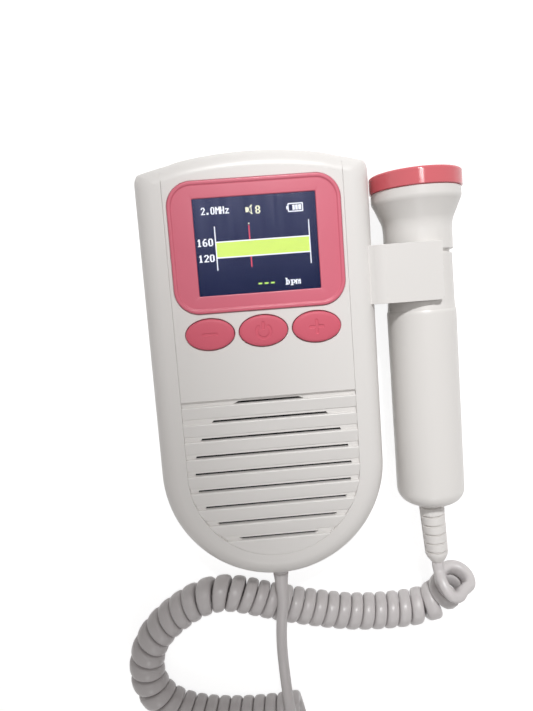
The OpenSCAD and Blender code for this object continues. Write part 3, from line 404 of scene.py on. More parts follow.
def room():
    """Soft light all round, and plain white where it is seen."""
    world = bpy.data.worlds.new("soft_room")
    bpy.context.scene.world = world
    world.use_nodes = True
    tree = world.node_tree
    tree.nodes.clear()
    soft = add(tree, "ShaderNodeBackground", {"Color": (1.0, 0.955, 0.93, 1), "Strength": ROOM_LIGHT})
    white = add(tree, "ShaderNodeBackground", {"Color": (1, 1, 1, 1), "Strength": 1.0})
    mix = add(tree, "ShaderNodeMixShader", {0: seen_ray(tree), 1: soft.outputs[0], 2: white.outputs[0]})
    add(tree, "ShaderNodeOutputWorld", {0: mix.outputs[0]})


def ground():
    """Pale table that is nearly white where it is seen and keeps the shadow."""
    far, low = 1500, -0.02
    table = mesh_piece("table", [(-far, -far, low), (far, -far, low), (far, far, low), (-far, far, low)],
                       [(0, 1, 2, 3)])
    look, tree, base, at = new_look("white_table")
    tree.nodes.remove(base)
    cloud = add(tree, "ShaderNodeTexNoise", {"Vector": at, "Scale": 8.0})
    tone = two_tone(tree, cloud.outputs["Fac"], (0.80, 0.795, 0.79), (0.82, 0.815, 0.81))
    seen = seen_ray(tree)
    share = add(tree, "ShaderNodeMapRange", {"Value": seen, "To Min": 1.0, "To Max": TABLE_SHARE})
    dim = add(tree, "ShaderNodeVectorMath", {0: tone, "Scale": share.outputs[0]}, operation="SCALE")
    matt = add(tree, "ShaderNodeBsdfDiffuse", {"Color": dim.outputs[0]})
    lift = add(tree, "ShaderNodeMath", {0: seen, 1: TABLE_GLOW}, operation="MULTIPLY")
    pale = add(tree, "ShaderNodeEmission", {"Color": (1, 1, 1, 1), "Strength": lift.outputs[0]})
    both = add(tree, "ShaderNodeAddShader", {0: matt.outputs[0], 1: pale.outputs[0]})
    put(tree, tree.nodes["Material Output"], {0: both.outputs[0]})
    table.data.materials.append(look)


camera()
lamps()
room()
ground()
bpy.context.scene.view_settings.view_transform = "Standard"


# ---- curly cord: one smooth tube from the unit's sleeve to the probe's ----
ROUTE = [(67.6, -78.4, 20.8), (66.2, -82.6, 17), (64.9, -87.2, 13.2), (62.8, -92.8, 9.8),
         (58.6, -98, 7.6), (51, -99.8, 7), (40, -100, 7), (28, -99.4, 7), (16, -97, 7), (4, -94, 7),
         (-8, -90.4, 7), (-18, -86.8, 7), (-28, -86.4, 7), (-37, -90.6, 7), (-45.5, -96.2, 7),
         (-52, -103.5, 7), (-54.8, -112.5, 7), (-53.8, -122, 7), (-48, -130, 7), (-38.5, -135, 7),
         (-26, -137.6, 7), (-13, -138.6, 7), (-2, -138.4, 7), (9, -137.8, 7), (20, -136.6, 7)]
LEAD_ROUTE = [(-0.4, -90, 17.2), (-1, -94.5, 17.1), (-1.4, -99.5, 16.6), (-1.6, -105.5, 15.8),
              (-1.5, -112, 15.1), (-1.2, -119, 15.3), (-0.8, -125, 16), (-0.4, -129.5, 16.7)]
LAST_ROUTE = [(0, -133.5, 17.2), (0.8, -137, 17.6), (2.6, -140.4, 17), (4.6, -142.8, 14.8),
              (5.9, -143.4, 11.7)]
FIRST_ROUTE = [(63.8, -88.6, 21.7), (61, -87.6, 21.8), (59, -84, 19.6)]
CURL_RINGS, COIL_START, COIL_END, FIRST_TURN, FLARE_LENGTH = 8, 2.2, 2.0, -20, 10
BAND_GAP, BAND_HALF = 0.17, 2.95
# the next curl lies this many points along the cord, and no further off than NEXT_REACH
NEXT_FROM, NEXT_TO, NEXT_REACH = 20, 46, 7.5
BOOT_AT = Vector((PROBE_X, 0, PROBE_Z)) + spin(LEAN, "Z") @ Vector((0, GRIP_Y, 0))
BOOT_DIR = spin(LEAN + BOOT_LEAN, "Z") @ Vector((0, -1, 0))


def coil_middle(sub=16):
    """Points, and their distances along, of the coil's middle line."""
    p = [Vector(q) for q in ROUTE]
    line = []
    for i in range(len(p) - 3):
        for j in range(sub):
            t = j / sub
            line.append(((1 - t) ** 3 * p[i] + (3 * t ** 3 - 6 * t * t + 4) * p[i + 1]
                         + (-3 * t ** 3 + 3 * t * t + 3 * t + 1) * p[i + 2] + t ** 3 * p[i + 3]) / 6)
    far = [0.0]
    for a, b in zip(line, line[1:]):
        far.append(far[-1] + (b - a).length)
    return line, far


def between(s, far, values):
    """The value at distance s, straight between its neighbours."""
    s = min(max(s, far[0]), far[-1])
    low = max(i for i in range(len(far)) if far[i] <= s)
    if low == len(far) - 1:
        return values[low]
    t = (s - far[low]) / (far[low + 1] - far[low])
    return values[low] * (1 - t) + values[low + 1] * t


def curls():
    line, far = coil_middle()
    n = len(line)
    run = [(line[min(i + 1, n - 1)] - line[max(i - 1, 0)]).normalized() for i in range(n)]
    spans = [(max(i - 6, 0), min(i + 6, n - 1)) for i in range(n)]
    bend = [(run[j] - run[i]).length / max(0.1, far[j] - far[i]) for i, j in spans]
    pitch = CORD_D + CURL_GAP
    steps, s = [], COIL_START
    while s < far[-1] - COIL_END:
        steps.append(s)
        s += pitch / (1 - min(0.5, COIL_R * between(s, far, bend))) / CURL_RINGS
    last = CURL_RINGS * (len(steps) // CURL_RINGS) - 2
    points = []
    for k in range(last, -1, -1):
        s = steps[k]
        along = (between(s + 0.4, far, line) - between(s - 0.4, far, line)).normalized()
        up = (Vector((0, 0, 1)) - along.z * along).normalized()
        a = math.radians(FIRST_TURN - 360 * k / CURL_RINGS)
        out = math.cos(a) * up + math.sin(a) * along.cross(up)
        points.append(between(s, far, line) + (COIL_R + COIL_FLARE * max(0, 1 - s / FLARE_LENGTH)) * out)
    return points


def cord_line(sub=6, step=0.95):
    """The cord's middle from the unit's sleeve, over the coil, round every curl and up to the probe."""
    start = Vector((0, -TAIL_Y - TAIL_H - SLEEVE_L, LEAD_Z))
    end = BOOT_AT + (BOOT_L + BOOT_GAP) * BOOT_DIR
    knots = ([start, start - Vector((0, CORD_D, 0))] + [Vector(q) for q in LEAD_ROUTE]
             + [Vector(q) for q in LAST_ROUTE] + curls() + [Vector(q) for q in FIRST_ROUTE]
             + [end + CORD_D * BOOT_DIR, end])
    knots = [2 * knots[0] - knots[1]] + knots + [2 * knots[-1] - knots[-2]]
    line = []
    for a, b, c, d in zip(knots, knots[1:], knots[2:], knots[3:]):
        for j in range(sub):
            t = j / sub
            line.append(0.5 * (2 * b + t * (c - a) + t * t * (2 * a - 5 * b + 4 * c - d)
                               + t ** 3 * (3 * b - a - 3 * c + d)))
    line.append(knots[-2])
    far = [0.0]
    for a, b in zip(line, line[1:]):
        far.append(far[-1] + (b - a).length)
    count, even, i = round(far[-1] / step), [], 0
    for k in range(count + 1):
        s = far[-1] * k / count
        while i < len(far) - 2 and far[i + 1] < s:
            i += 1
        t = (s - far[i]) / (far[i + 1] - far[i])
        even.append(line[i] * (1 - t) + line[i + 1] * t)
    return even


def band_at(line, i):
    """Half width and direction of the cord where its curls lie side by side, or none on its straight ends."""
    p, n = line[i], len(line)
    before = range(max(0, i - NEXT_TO), i - NEXT_FROM + 1)
    after = range(i + NEXT_FROM, min(n, i + NEXT_TO + 1))
    near = [min(span, key=lambda j: (line[j] - p).length_squared)
            for span in (before, after) if len(span) > 6]
    near = [j for j in near if (line[j] - p).length < NEXT_REACH]
    if not near:
        return None
    gap = min((line[j] - p).length for j in near)
    side = line[near[0]] - p if near[0] > i else p - line[near[0]]
    if len(near) > 1:
        side = line[near[-1]] - line[near[0]]
    return min(BAND_HALF, max(CORD_D / 2, (gap - BAND_GAP) / 2)), side


def tube(name, line, sides=20):
    """One skin along the line: round at its ends, flatter and wider where the curls are."""
    n = len(line)
    run = [(line[min(i + 1, n - 1)] - line[max(i - 1, 0)]).normalized() for i in range(n)]
    bands = [band_at(line, i) for i in range(n)]
    first = next(i for i in range(n) if bands[i])
    last = next(i for i in range(n - 1, -1, -1) if bands[i])
    wide = [bands[i][0] if bands[i] else CORD_D / 2 for i in range(n)]
    for _ in range(6):
        wide[1:-1] = [(a + 2 * b + c) / 4 for a, b, c in zip(wide, wide[1:], wide[2:])]
    sides_at = [None] * n
    for order in (range(first, last + 1), range(first - 1, -1, -1), range(last + 1, n)):
        for i in order:
            side = bands[i][1] if bands[i] else sides_at[i - order.step]
            sides_at[i] = (side - side.dot(run[i]) * run[i]).normalized()
    rings = []
    for i, (p, t) in enumerate(zip(line, run)):
        other = t.cross(sides_at[i])
        # a power of 1 is a round cord, a smaller one a squarer band
        square = 2 / (2 + 0.9 * min(1.0, (wide[i] - CORD_D / 2) / 0.12))
        ring = []
        for c, d in circle(sides):
            c, d = math.copysign(abs(c) ** square, c), math.copysign(abs(d) ** square, d)
            ring.append(p + wide[i] * c * sides_at[i] + CORD_D / 2 * d * other)
        rings.append(ring)
    return skin(name, rings, (True, True), 60.0)


def curly_cord():
    line = cord_line()
    cord = tube("curly_cord", line)
    cord.data.materials.append(CORD)
    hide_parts("cord_lead", "cord_coil")
    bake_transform(cord)


curly_cord()


# ---- housing ----
def top_at(x, d):
    """The top edge's height at x, drawn in by d."""
    return TOP_Y - CROWN - d - x * x / (2 * TOP_R) + CROWN * eased(limited((SEAM_X - abs(x)) / 7))


def outline(d, lean=0.0, n=56, m=30):
    """The body's outline drawn in by d, and by each side's share of the front shell's lean."""
    a, tail, d = HALF_W - d - SIDE_LEAN * lean, TAIL_H - d - TAIL_LEAN * lean, d + TOP_LEAN * lean
    xc, yc = a - CORNER_W, top_at(a - CORNER_W, d)
    half = [(a * math.cos(t), -TAIL_Y + tail * math.sin(t))
            for t in (-math.pi / 2 + math.pi / 2 * i / n for i in range(n + 1))]
    half += [(xc + CORNER_W * math.cos(t), yc - CORNER_H + CORNER_H * math.sin(t))
             for t in (math.pi / 20 * j for j in range(11))]
    half += [(xc * (1 - k / m), top_at(xc * (1 - k / m), d)) for k in range(1, m + 1)]
    return half + [(-x, y) for x, y in half[-2:0:-1]]


def lean_at(z):
    """How far the front shell has drawn in at a height: 1 where its edge starts to round over."""
    span = FRONT_Z - EDGE_R - SPLIT_Z
    over = max(0.0, z - SPLIT_Z - span)
    drawn = limited((z - SPLIT_Z) / span) ** LEAN_POWER
    return drawn + LEAN_POWER * over / span * (1 - over / (2 * EDGE_R))


def loft(name, levels):
    """The body's form through [height, draw-in] pairs."""
    return skin(name, [[(x, y, z) for x, y in outline(d, lean_at(z))] for z, d in levels], (True, True), 30.0)


def front_block(name):
    """Front half of the housing, open at the parting plane."""
    rise = [SPLIT_Z + k for k in range(1, 10)]
    outer = [(SPLIT_Z, 0.25), (SPLIT_Z + 0.25, 0)] + [(z, 0) for z in rise] + [
        (FRONT_Z - EDGE_R * (1 - math.sin(t)), EDGE_R * (1 - math.cos(t)))
        for t in (math.pi / 24 * k for k in range(13))]
    r = EDGE_R - WALL
    inner = [(SPLIT_Z - 1, WALL)] + [(z, WALL) for z in rise]
    inner += [(FRONT_Z - EDGE_R + r * math.sin(t), WALL + r * (1 - math.cos(t)))
              for t in (math.pi / 16 * k for k in range(8)) if r * math.sin(t) < EDGE_R - PANEL_T]
    inner += [(FRONT_Z - PANEL_T, WALL + r)]
    return cut(loft(name, outer), loft("hollow", inner))


def strip(name, gap, low, rims):
    """Prism over the panel's outline; rims are [height, growth] pairs near its upper edge."""
    rings = []
    turns = [math.pi * (i / 72 - 1) for i in range(73)]
    for z, g in [(low, 0.0)] + rims + [(FRONT_Z + 2, rims[-1][1])]:
        x, h = SEAM_X - gap + g, PANEL_TAIL - gap + g
        rings.append([(x * math.cos(t), -TAIL_Y + h * math.sin(t), z) for t in turns]
                     + [(x, TOP_Y + 9, z), (-x, TOP_Y + 9, z)])
    return skin(name, rings, (True, True), 30.0)


def soft_rim(r, sign, n=4):
    """Rounded edge at the front face, as [height, growth] pairs."""
    return [(FRONT_Z - r + r * math.sin(t), sign * r * (1 - math.cos(t)))
            for t in (math.pi / 2 * k / n for k in range(n + 1))]


def slat_tool(name, first):
    """What one louvre takes away, as a [y, z] profile measured from its step."""
    low, r = FRONT_Z - DIP - STEP, 0.55
    corner = arc(-RECESS - r, FRONT_Z - r, r, 0, 90, 6)
    profile = [(0, low), (-RECESS, low)] + corner + [(-RECESS - r, FRONT_Z + 1)]
    if first:
        profile += [(0.2, FRONT_Z + 1), (0.2, FRONT_Z)] + arc(0.2, FRONT_Z - 0.2, 0.2, 90, 180, 3)[1:]
    else:
        start = SLAT_PITCH - RECESS - r
        profile += [(start, FRONT_Z + 1), (start, FRONT_Z), (start * 0.55, FRONT_Z - DIP * 0.40),
                    (0.18, FRONT_Z - DIP + 0.02), (0.04, FRONT_Z - DIP - 0.05), (0, FRONT_Z - DIP - 0.16)]
    reach = 32
    place = Matrix(((0, 0, 1, -reach), (1, 0, 0, 0), (0, 1, 0, 0), (0, 0, 0, 1)))
    return prism(name, profile, place, 2 * reach, 30.0)


def louvre_tree():
    """Nodes that repeat the louvres and the sound slots down the panel and cut them out of it."""
    tree = bpy.data.node_groups.new("louvres", "GeometryNodeTree")
    for kind, labels in (("Geometry", ("Panel",)), ("Object", ("First Cut", "Slat Cut")), ("Int", ("Slats",)),
                         ("Float", ("Pitch", "First Step", "Slot Width", "Slot Place", "Field Radius",
                                    "Field Middle")), ("Material", ("Finish",))):
        for label in labels:
            tree.interface.new_socket(label, in_out="INPUT", socket_type="NodeSocket" + kind)
    tree.interface.new_socket("Panel", in_out="OUTPUT", socket_type="NodeSocketGeometry")
    size = add(tree, "NodeGroupInput").outputs
    first = add(tree, "GeometryNodeObjectInfo", {"Object": size["First Cut"]})
    slat = add(tree, "GeometryNodeObjectInfo", {"Object": size["Slat Cut"]})
    back = add(tree, "ShaderNodeMath", {0: size["Pitch"], 1: -1.0}, operation="MULTIPLY")
    stride = add(tree, "ShaderNodeCombineXYZ", {"Y": back.outputs[0]})
    second = add(tree, "ShaderNodeMath", {0: size["First Step"], 1: size["Pitch"]}, operation="SUBTRACT")
    fewer = add(tree, "ShaderNodeMath", {0: size["Slats"], 1: 1.0}, operation="SUBTRACT")
    start = add(tree, "ShaderNodeCombineXYZ", {"Y": second.outputs[0]})
    steps = add(tree, "GeometryNodeMeshLine", {"Count": fewer.outputs[0], "Start Location": start.outputs[0],
                                               "Offset": stride.outputs[0]})
    slats = add(tree, "GeometryNodeInstanceOnPoints", {"Points": steps.outputs[0],
                                                       "Instance": slat.outputs["Geometry"]})
    top = add(tree, "ShaderNodeCombineXYZ", {"Y": size["First Step"]})
    head = add(tree, "GeometryNodeTransform", {"Geometry": first.outputs["Geometry"],
                                               "Translation": top.outputs[0]})
    drop = add(tree, "ShaderNodeMath", {0: size["First Step"], 1: size["Slot Place"]}, operation="SUBTRACT")
    begin = add(tree, "ShaderNodeCombineXYZ", {"Y": drop.outputs[0], "Z": FRONT_Z * MM - 0.001})
    gaps = add(tree, "GeometryNodeMeshLine", {"Count": size["Slats"], "Start Location": begin.outputs[0],
                                              "Offset": stride.outputs[0]})
    # each bar crosses the whole round field and the panel's thickness
    bar = add(tree, "ShaderNodeCombineXYZ", {"X": 0.058, "Y": size["Slot Width"], "Z": 0.006})
    bar = add(tree, "GeometryNodeMeshCube", {"Size": bar.outputs[0]})
    bars = add(tree, "GeometryNodeInstanceOnPoints", {"Points": gaps.outputs[0], "Instance": bar.outputs[0]})
    bars = add(tree, "GeometryNodeRealizeInstances", {0: bars.outputs[0]})
    disc = add(tree, "GeometryNodeMeshCylinder", {"Vertices": 160, "Radius": size["Field Radius"],
                                                  "Depth": 0.02})
    middle = add(tree, "ShaderNodeCombineXYZ", {"Y": size["Field Middle"], "Z": FRONT_Z * MM})
    disc = add(tree, "GeometryNodeTransform", {"Geometry": disc.outputs[0], "Translation": middle.outputs[0]})
    sure = {"Self Intersection": True, "Hole Tolerant": True}
    slots = add(tree, "GeometryNodeMeshBoolean", sure, operation="INTERSECT", solver="EXACT")
    tree.links.new(disc.outputs[0], slots.inputs["Mesh 2"])
    tree.links.new(bars.outputs[0], slots.inputs["Mesh 2"])
    done = size["Panel"]
    for tool in (head.outputs[0], slats.outputs[0], slots.outputs[0]):
        tool = add(tree, "GeometryNodeRealizeInstances", {0: tool})
        step = add(tree, "GeometryNodeMeshBoolean", {"Mesh 1": done, **sure}, operation="DIFFERENCE",
                   solver="EXACT")
        tree.links.new(tool.outputs[0], step.inputs["Mesh 2"])
        done = step.outputs["Mesh"]
    whole = add(tree, "GeometryNodeRealizeInstances", {0: done})
    worn = add(tree, "GeometryNodeSetMaterial", {"Geometry": whole.outputs[0], "Material": size["Finish"]})
    add(tree, "NodeGroupOutput", {0: worn.outputs[0]})
    return tree


def run_tree(piece, tree, **values):
    """Runs a node tree on a piece, with its named inputs, and keeps the result as a plain mesh."""
    mod = piece.modifiers.new(tree.name, "NODES")
    mod.node_group = tree
    for item in tree.interface.items_tree:
        key = item.name.replace(" ", "_")
        if item.in_out == "INPUT" and key in values:
            mod[item.identifier] = values[key]
    return plain(piece, even=False)


def socket_hole():
    """Tool for the earphone socket's hole, around the drawn socket's nose."""
    nose = [v.co / MM for v in CAD["earphone_socket"].data.vertices if v.co.x / MM < 0.5 - HALF_W]
    low, high = [Vector(pick(p[i] for p in nose) for i in range(3)) for pick in (min, max)]
    place = Matrix.Translation((0, (low.y + high.y) / 2, (low.z + high.z) / 2)) @ spin(90, "Y")
    r = (high.y - low.y) / 2 + 0.1
    return turned("socket_hole", [(r, -HALF_W - 1), (r, WALL + 2 - HALF_W)], place, 64)


def screen_ring(w, h, r, z, n=16):
    """Rounded rectangle round the screen's middle."""
    return [(x, BEZEL_Y + y, z) for x, y in rounded(w, h, r, n)]


def front_housing():
    rim = front_block("front_casing_rim")
    cut(rim, strip("opening", 0.0, SPLIT_Z - 2, soft_rim(0.17, 1)), socket_hole())
    shade(rim, 30.0)
    plain(rim)
    finish(rim, "unit", "shell", SHELL, "front_casing")

    panel = front_block("louvred_panel")
    keep_common(panel, strip("panel_space", SEAM, SPLIT_Z - 2, soft_rim(0.17, -1)))
    tools = []
    for x0 in KEY_XS:
        rings = [[(x0 + x, KEY_Y + y, z) for x, y in oval(KEY_W + 2 * g, KEY_H + 2 * g)]
                 for z, g in [(FRONT_Z - 4, KEY_GAP)] + [(z, KEY_GAP + g) for z, g in soft_rim(0.2, 1)]
                 + [(FRONT_Z + 2, KEY_GAP + 0.2)]]
        tools.append(skin("key_hole", rings))
    rings = [screen_ring(BEZEL_W + 2 * g, BEZEL_H + 2 * g, BEZEL_R + g, z)
             for z, g in [(FRONT_Z - BEZEL_SEAT, 0.15)] + [(z, 0.15 + g) for z, g in soft_rim(0.15, 1)]
             + [(FRONT_Z + 2, 0.3)]]
    tools.append(skin("screen_seat", rings))
    tools.append(skin("window_hole", [screen_ring(WINDOW_W, WINDOW_H, 0.3, z, 10)
                                      for z in (FRONT_Z - 4, FRONT_Z)]))
    cut(panel, *tools)
    first, slat = slat_tool("first_cut", True), slat_tool("slat_cut", False)
    run_tree(panel, louvre_tree(), First_Cut=first, Slat_Cut=slat, Slats=SLATS, Pitch=SLAT_PITCH * MM,
             First_Step=SLAT_Y * MM, Slot_Width=SLOT_W * MM, Slot_Place=(RECESS - SLOT_W / 2) * MM,
             Field_Radius=GRILLE_R * MM, Field_Middle=GRILLE_Y * MM, Finish=SHELL)
    for tool in (first, slat):
        bpy.data.objects.remove(tool)
    shade(panel, 30.0)
    plain(panel)
    finish(panel, "unit", "shell", SHELL, "front_panel")


front_housing()


# ---- screen ----
def screen():
    flat = FRONT_Z + BEZEL_RISE - 0.32
    top = FRONT_Z + BEZEL_RISE
    # [draw-in from the outer edge, height]
    profile = [(0, FRONT_Z - BEZEL_SEAT + 0.02), (0, top - 0.42)]
    profile += [(0.45 - 0.45 * math.cos(math.radians(a)), top - 0.42 + 0.42 * math.sin(math.radians(a)))
                for a in (15, 30, 45, 60, 75, 90)]
    profile += [(0.85, top), (1.05, top - 0.03), (1.2, top - 0.12), (1.3, top - 0.26), (1.42, flat - 0.03),
                (1.7, flat - 0.02), (2.1, flat)]
    rings = [screen_ring(BEZEL_W - 2 * d, BEZEL_H - 2 * d, BEZEL_R - d, z) for d, z in profile]
    for g, z, r in ((2.2, flat, 1.4), (0.35, flat, 0.6), (0.12, flat - 0.05, 0.4), (0, flat - 0.2, 0.25),
                    (0, FRONT_Z - 0.38, 0.25)):
        rings.append(screen_ring(SCREEN_W + 2 * g, SCREEN_H + 2 * g, r, z))
    rings += [screen_ring(WINDOW_W, WINDOW_H, 0.3, z) for z in (FRONT_Z - 0.38, FRONT_Z - BEZEL_SEAT + 0.02)]
    rings.append(rings[0])
    surround = plain(skin("screen_surround", rings, (False, False), 40.0))
    finish(surround, "unit", "rose", ROSE, "screen_bezel")

    clear, tree, base, at = new_look("clear_acrylic")
    smears = add(tree, "ShaderNodeMapping", {"Vector": at, "Scale": (300.0, 40.0, 1.0)})
    smears = add(tree, "ShaderNodeTexNoise", {"Vector": smears.outputs[0], "Scale": 1.0, "Detail": 3.0})
    haze = add(tree, "ShaderNodeMapRange", {"Value": smears.outputs["Fac"], "To Min": 0.0, "To Max": 0.12})
    put(tree, base, {"Roughness": haze.outputs[0], "Base Color": (0.97, 0.98, 1.0, 1),
                     "Transmission Weight": 1.0, "IOR": 1.13})
    window = softened(refined("display_window"), 0.12)
    finish(window, "unit", "clear", clear, "display_window")

    # lit picture: dark field, with a painted pale reflection that grows towards the top in soft streaks
    field, tree, base, at = new_look("dark_blue_field")
    part = add(tree, "ShaderNodeSeparateXYZ", {0: at})
    rise = add(tree, "ShaderNodeMapRange", {"Value": part.outputs["Y"], "From Min": 0.030, "From Max": 0.058})
    glare_streaks = add(tree, "ShaderNodeMapping", {"Vector": at, "Scale": (400.0, 25.0, 1.0)})
    glare_streaks = add(tree, "ShaderNodeTexNoise", {"Vector": glare_streaks.outputs[0], "Scale": 1.0, "Detail": 4.0})
    # painted reflection: the glow is lifted towards the top and broken into streaks, standing in for glare on
    # the window
    painted_glare = add(tree, "ShaderNodeMath", {0: rise.outputs[0], 1: glare_streaks.outputs["Fac"]}, operation="MULTIPLY")
    tone = two_tone(tree, painted_glare.outputs[0], (0.012, 0.016, 0.055), (0.11, 0.115, 0.20))
    put(tree, base, {"Base Color": (0.008, 0.01, 0.02, 1), "Specular IOR Level": 0.0,
                     "Emission Color": tone, "Emission Strength": 1.0})
    w, h = SCREEN_W / 2 + 0.5, SCREEN_H / 2 + 0.5
    z = LCD_TOP + 0.03
    picture = mesh_piece("lit_field", [(-w, BEZEL_Y - h, z), (w, BEZEL_Y - h, z), (w, BEZEL_Y + h, z),
                                       (-w, BEZEL_Y + h, z)], [(0, 1, 2, 3)])
    finish(picture, "unit", "display", field)


# signs of the display, one word per row of dots
DOTS = {
    "2": ".####.. ##..##. ....##. ...##.. ..##... .##.... ######.",
    ".": "....... ....... ....... ....... ....... .###... .###...",
    "0": ".####.. ##..##. ##..##. ##..##. ##..##. ##..##. .####..",
    "M": "##...## ###.### ####### ##.#.## ##...## ##...## ##...##",
    "H": "##..##. ##..##. ##..##. ######. ##..##. ##..##. ##..##.",
    "z": "....... ....... ######. ...##.. ..##... .##.... ######.",
    "8": ".####.. ##..##. ##..##. .####.. ##..##. ##..##. .####..",
    "1": "..##... .###... ..##... ..##... ..##... ..##... .####..",
    "6": "..###.. .##.... ##..... #####.. ##..##. ##..##. .####..",
    "b": "###.... .##.... .####.. .##.##. .##.##. .##.##. #####..",
    "p": "....... ....... ######. .##..## .##..## .#####. .##.... ####...",
    "m": "....... ....... ####.## ##.#### ##.#.## ##.#.## ##.#.##",
    "speaker": "......## .....##. ###.#.#. ####..#. ####..#. ####..#. ###.#.#. .....##. ......##",
}


def readout():
    """Figures, scale lines and marks of the display, as thin lit shapes above its field."""
    points, faces, tints = [], [], []

    def bar(u0, v0, u1, v1, tint, lift=0.0):
        """A lit bar between two places, as shares of the screen from its upper left corner."""
        x = [(u - 0.5) * SCREEN_W for u in (u0, u1)]
        y = [BEZEL_Y + (0.5 - v) * SCREEN_H for v in (v0, v1)]
        z = LCD_TOP + 0.06 + lift
        n = len(points)
        points.extend([(x[0], y[1], z), (x[1], y[1], z), (x[1], y[0], z), (x[0], y[0], z)])
        faces.append((n, n + 1, n + 2, n + 3))
        tints.append(tint)

    def dots(key, u, v, du, dv, tint):
        for j, row in enumerate(DOTS[key].split()):
            i = 0
            while i < len(row):
                if row[i] == "#":
                    k = i
                    while k < len(row) and row[k] == "#":
                        k += 1
                    bar(u + i * du, v + j * dv, u + k * du, v + (j + 1) * dv, tint)
                    i = k
                else:
                    i += 1

    def word(text, u0, v0, u1, v1, tint):
        step = (u1 - u0) / len(text)
        for i, key in enumerate(text):
            dots(key, u0 + i * step, v0, step / 7, (v1 - v0) / 7, tint)

    word("2.0MHz", 0.064, 0.082, 0.300, 0.158, 0)
    dots("speaker", 0.428, 0.086, 0.0072, 0.0105, 3)
    word("8", 0.508, 0.098, 0.556, 0.180, 3)
    # battery sign: its frame, its nose and three bars
    for u0, v0, u1, v1 in ((0.778, 0.096, 0.902, 0.108), (0.778, 0.176, 0.902, 0.188),
                           (0.892, 0.096, 0.902, 0.188), (0.763, 0.124, 0.778, 0.160),
                           (0.774, 0.104, 0.784, 0.180), (0.814, 0.116, 0.834, 0.168),
                           (0.838, 0.116, 0.858, 0.168), (0.862, 0.116, 0.886, 0.168)):
        bar(u0, v0, u1, v1, 0)
    # scale lines, normal band with its edges, and the reading
    bar(0.159, 0.282, 0.168, 0.739, 0)
    bar(0.935, 0.275, 0.944, 0.732, 0)
    bar(0.168, 0.445, 0.935, 0.610, 1)
    bar(0.165, 0.440, 0.938, 0.452, 0, 0.02)
    bar(0.165, 0.603, 0.938, 0.616, 0, 0.02)
    bar(0.441, 0.292, 0.451, 0.440, 2)
    bar(0.441, 0.616, 0.451, 0.726, 2)
    bar(0.441, 0.268, 0.452, 0.281, 3)
    word("160", 0.010, 0.403, 0.150, 0.482, 0)
    word("120", 0.012, 0.569, 0.152, 0.645, 0)
    for u in (0.489, 0.541, 0.593):
        bar(u, 0.899, u + 0.032, 0.915, 4)
    word("bpm", 0.714, 0.868, 0.842, 0.940, 0)
    marks = mesh_piece("screen_readout", points, faces)
    looks = [glow("lit_white", (0.95, 0.96, 1.0), 1.15), glow("lit_band", (0.77, 0.99, 0.19), 1.02),
             glow("lit_red", (0.87, 0.11, 0.15), 1.0), glow("lit_cream", (1.0, 0.99, 0.72), 1.1),
             glow("lit_lime", (0.62, 0.92, 0.16), 1.1)]
    finish(marks, "unit", "display", looks)
    for face, tint in zip(marks.data.polygons, tints):
        face.material_index = tint


screen()
readout()


# ---- keys ----
def stroke(x, y, ax, ay, bx, by):
    """Distance from a point to a straight stroke."""
    dx, dy = bx - ax, by - ay
    t = limited(((x - ax) * dx + (y - ay) * dy) / (dx * dx + dy * dy))
    return math.hypot(x - ax - t * dx, y - ay - t * dy)


def power_mark(x, y):
    """Open ring with a bar through its gap."""
    a, r = math.atan2(x, y + 0.2), math.hypot(x, y + 0.2)
    ring = abs(r - 2.25) if abs(a) > 0.8 else math.hypot(abs(x) - 1.61, y - 1.37)
    return min(ring, stroke(x, y, 0, 0.7, 0, 2.5))


SIGN_DEPTH = 0.24
MARKS = {
    "minus_key": lambda x, y: stroke(x, y, -2.1, 0, 2.1, 0),
    "power_key": power_mark,
    "plus_key": lambda x, y: min(stroke(x, y, -2.0, 0, 2.0, 0), stroke(x, y, 0, -2.0, 0, 2.0)),
}


def crown(t):
    """Height of a key's top at a share of the way from its middle to its edge."""
    return FRONT_Z + KEY_RISE + 0.22 - 0.38 * t ** 14 - 0.22 * t ** 2


def key(node, x0):
    """A crowned oval pad with its sign pressed in, a straight wall and a retaining flange."""
    n, m = 160, 56
    points = [(x0, KEY_Y, crown(0) - (SIGN_DEPTH if node != "power_key" else 0.0))]
    for j in range(1, m + 1):
        t = j / m
        for u, v in oval(t * KEY_W, t * KEY_H, n):
            dent = SIGN_DEPTH * eased(limited((0.55 - MARKS[node](u, v)) / 0.2))
            points.append((x0 + u, KEY_Y + v, crown(t) - dent))
    flange = FRONT_Z - PANEL_T - 0.2
    for z, g in ((FRONT_Z + KEY_RISE - 0.9, 0.0), (flange, 0.0), (flange, 0.55), (flange - 0.9, 0.55)):
        points += [(x0 + x, KEY_Y + y, z) for x, y in oval(KEY_W + 2 * g, KEY_H + 2 * g, n)]
    faces = [(0, 1 + i, 1 + (i + 1) % n) for i in range(n)]
    faces += [(1 + j * n + i, 1 + (j + 1) * n + i, 1 + (j + 1) * n + (i + 1) % n, 1 + j * n + (i + 1) % n)
              for j in range(m + 3) for i in range(n)]
    faces.append(tuple(1 + (m + 3) * n + i for i in range(n - 1, -1, -1)))
    pad = outward(mesh_piece(node + "_pad", points, faces, 50.0), 50.0)
    finish(pad, node, "rose", ROSE_KEY, node)


for name, x in zip(MARKS, KEY_XS):
    key(name, x)


# ---- probe ----
AXIS = Matrix.Translation((PROBE_X, 0, PROBE_Z)) @ spin(LEAN, "Z") @ spin(-90, "X")


def bowed(a, b, c, n=8):
    """Soft bend from a to c that leans towards b."""
    return [tuple((1 - t) ** 2 * a[k] + 2 * t * (1 - t) * b[k] + t * t * c[k] for k in (0, 1))
            for t in (i / n for i in range(n + 1))]


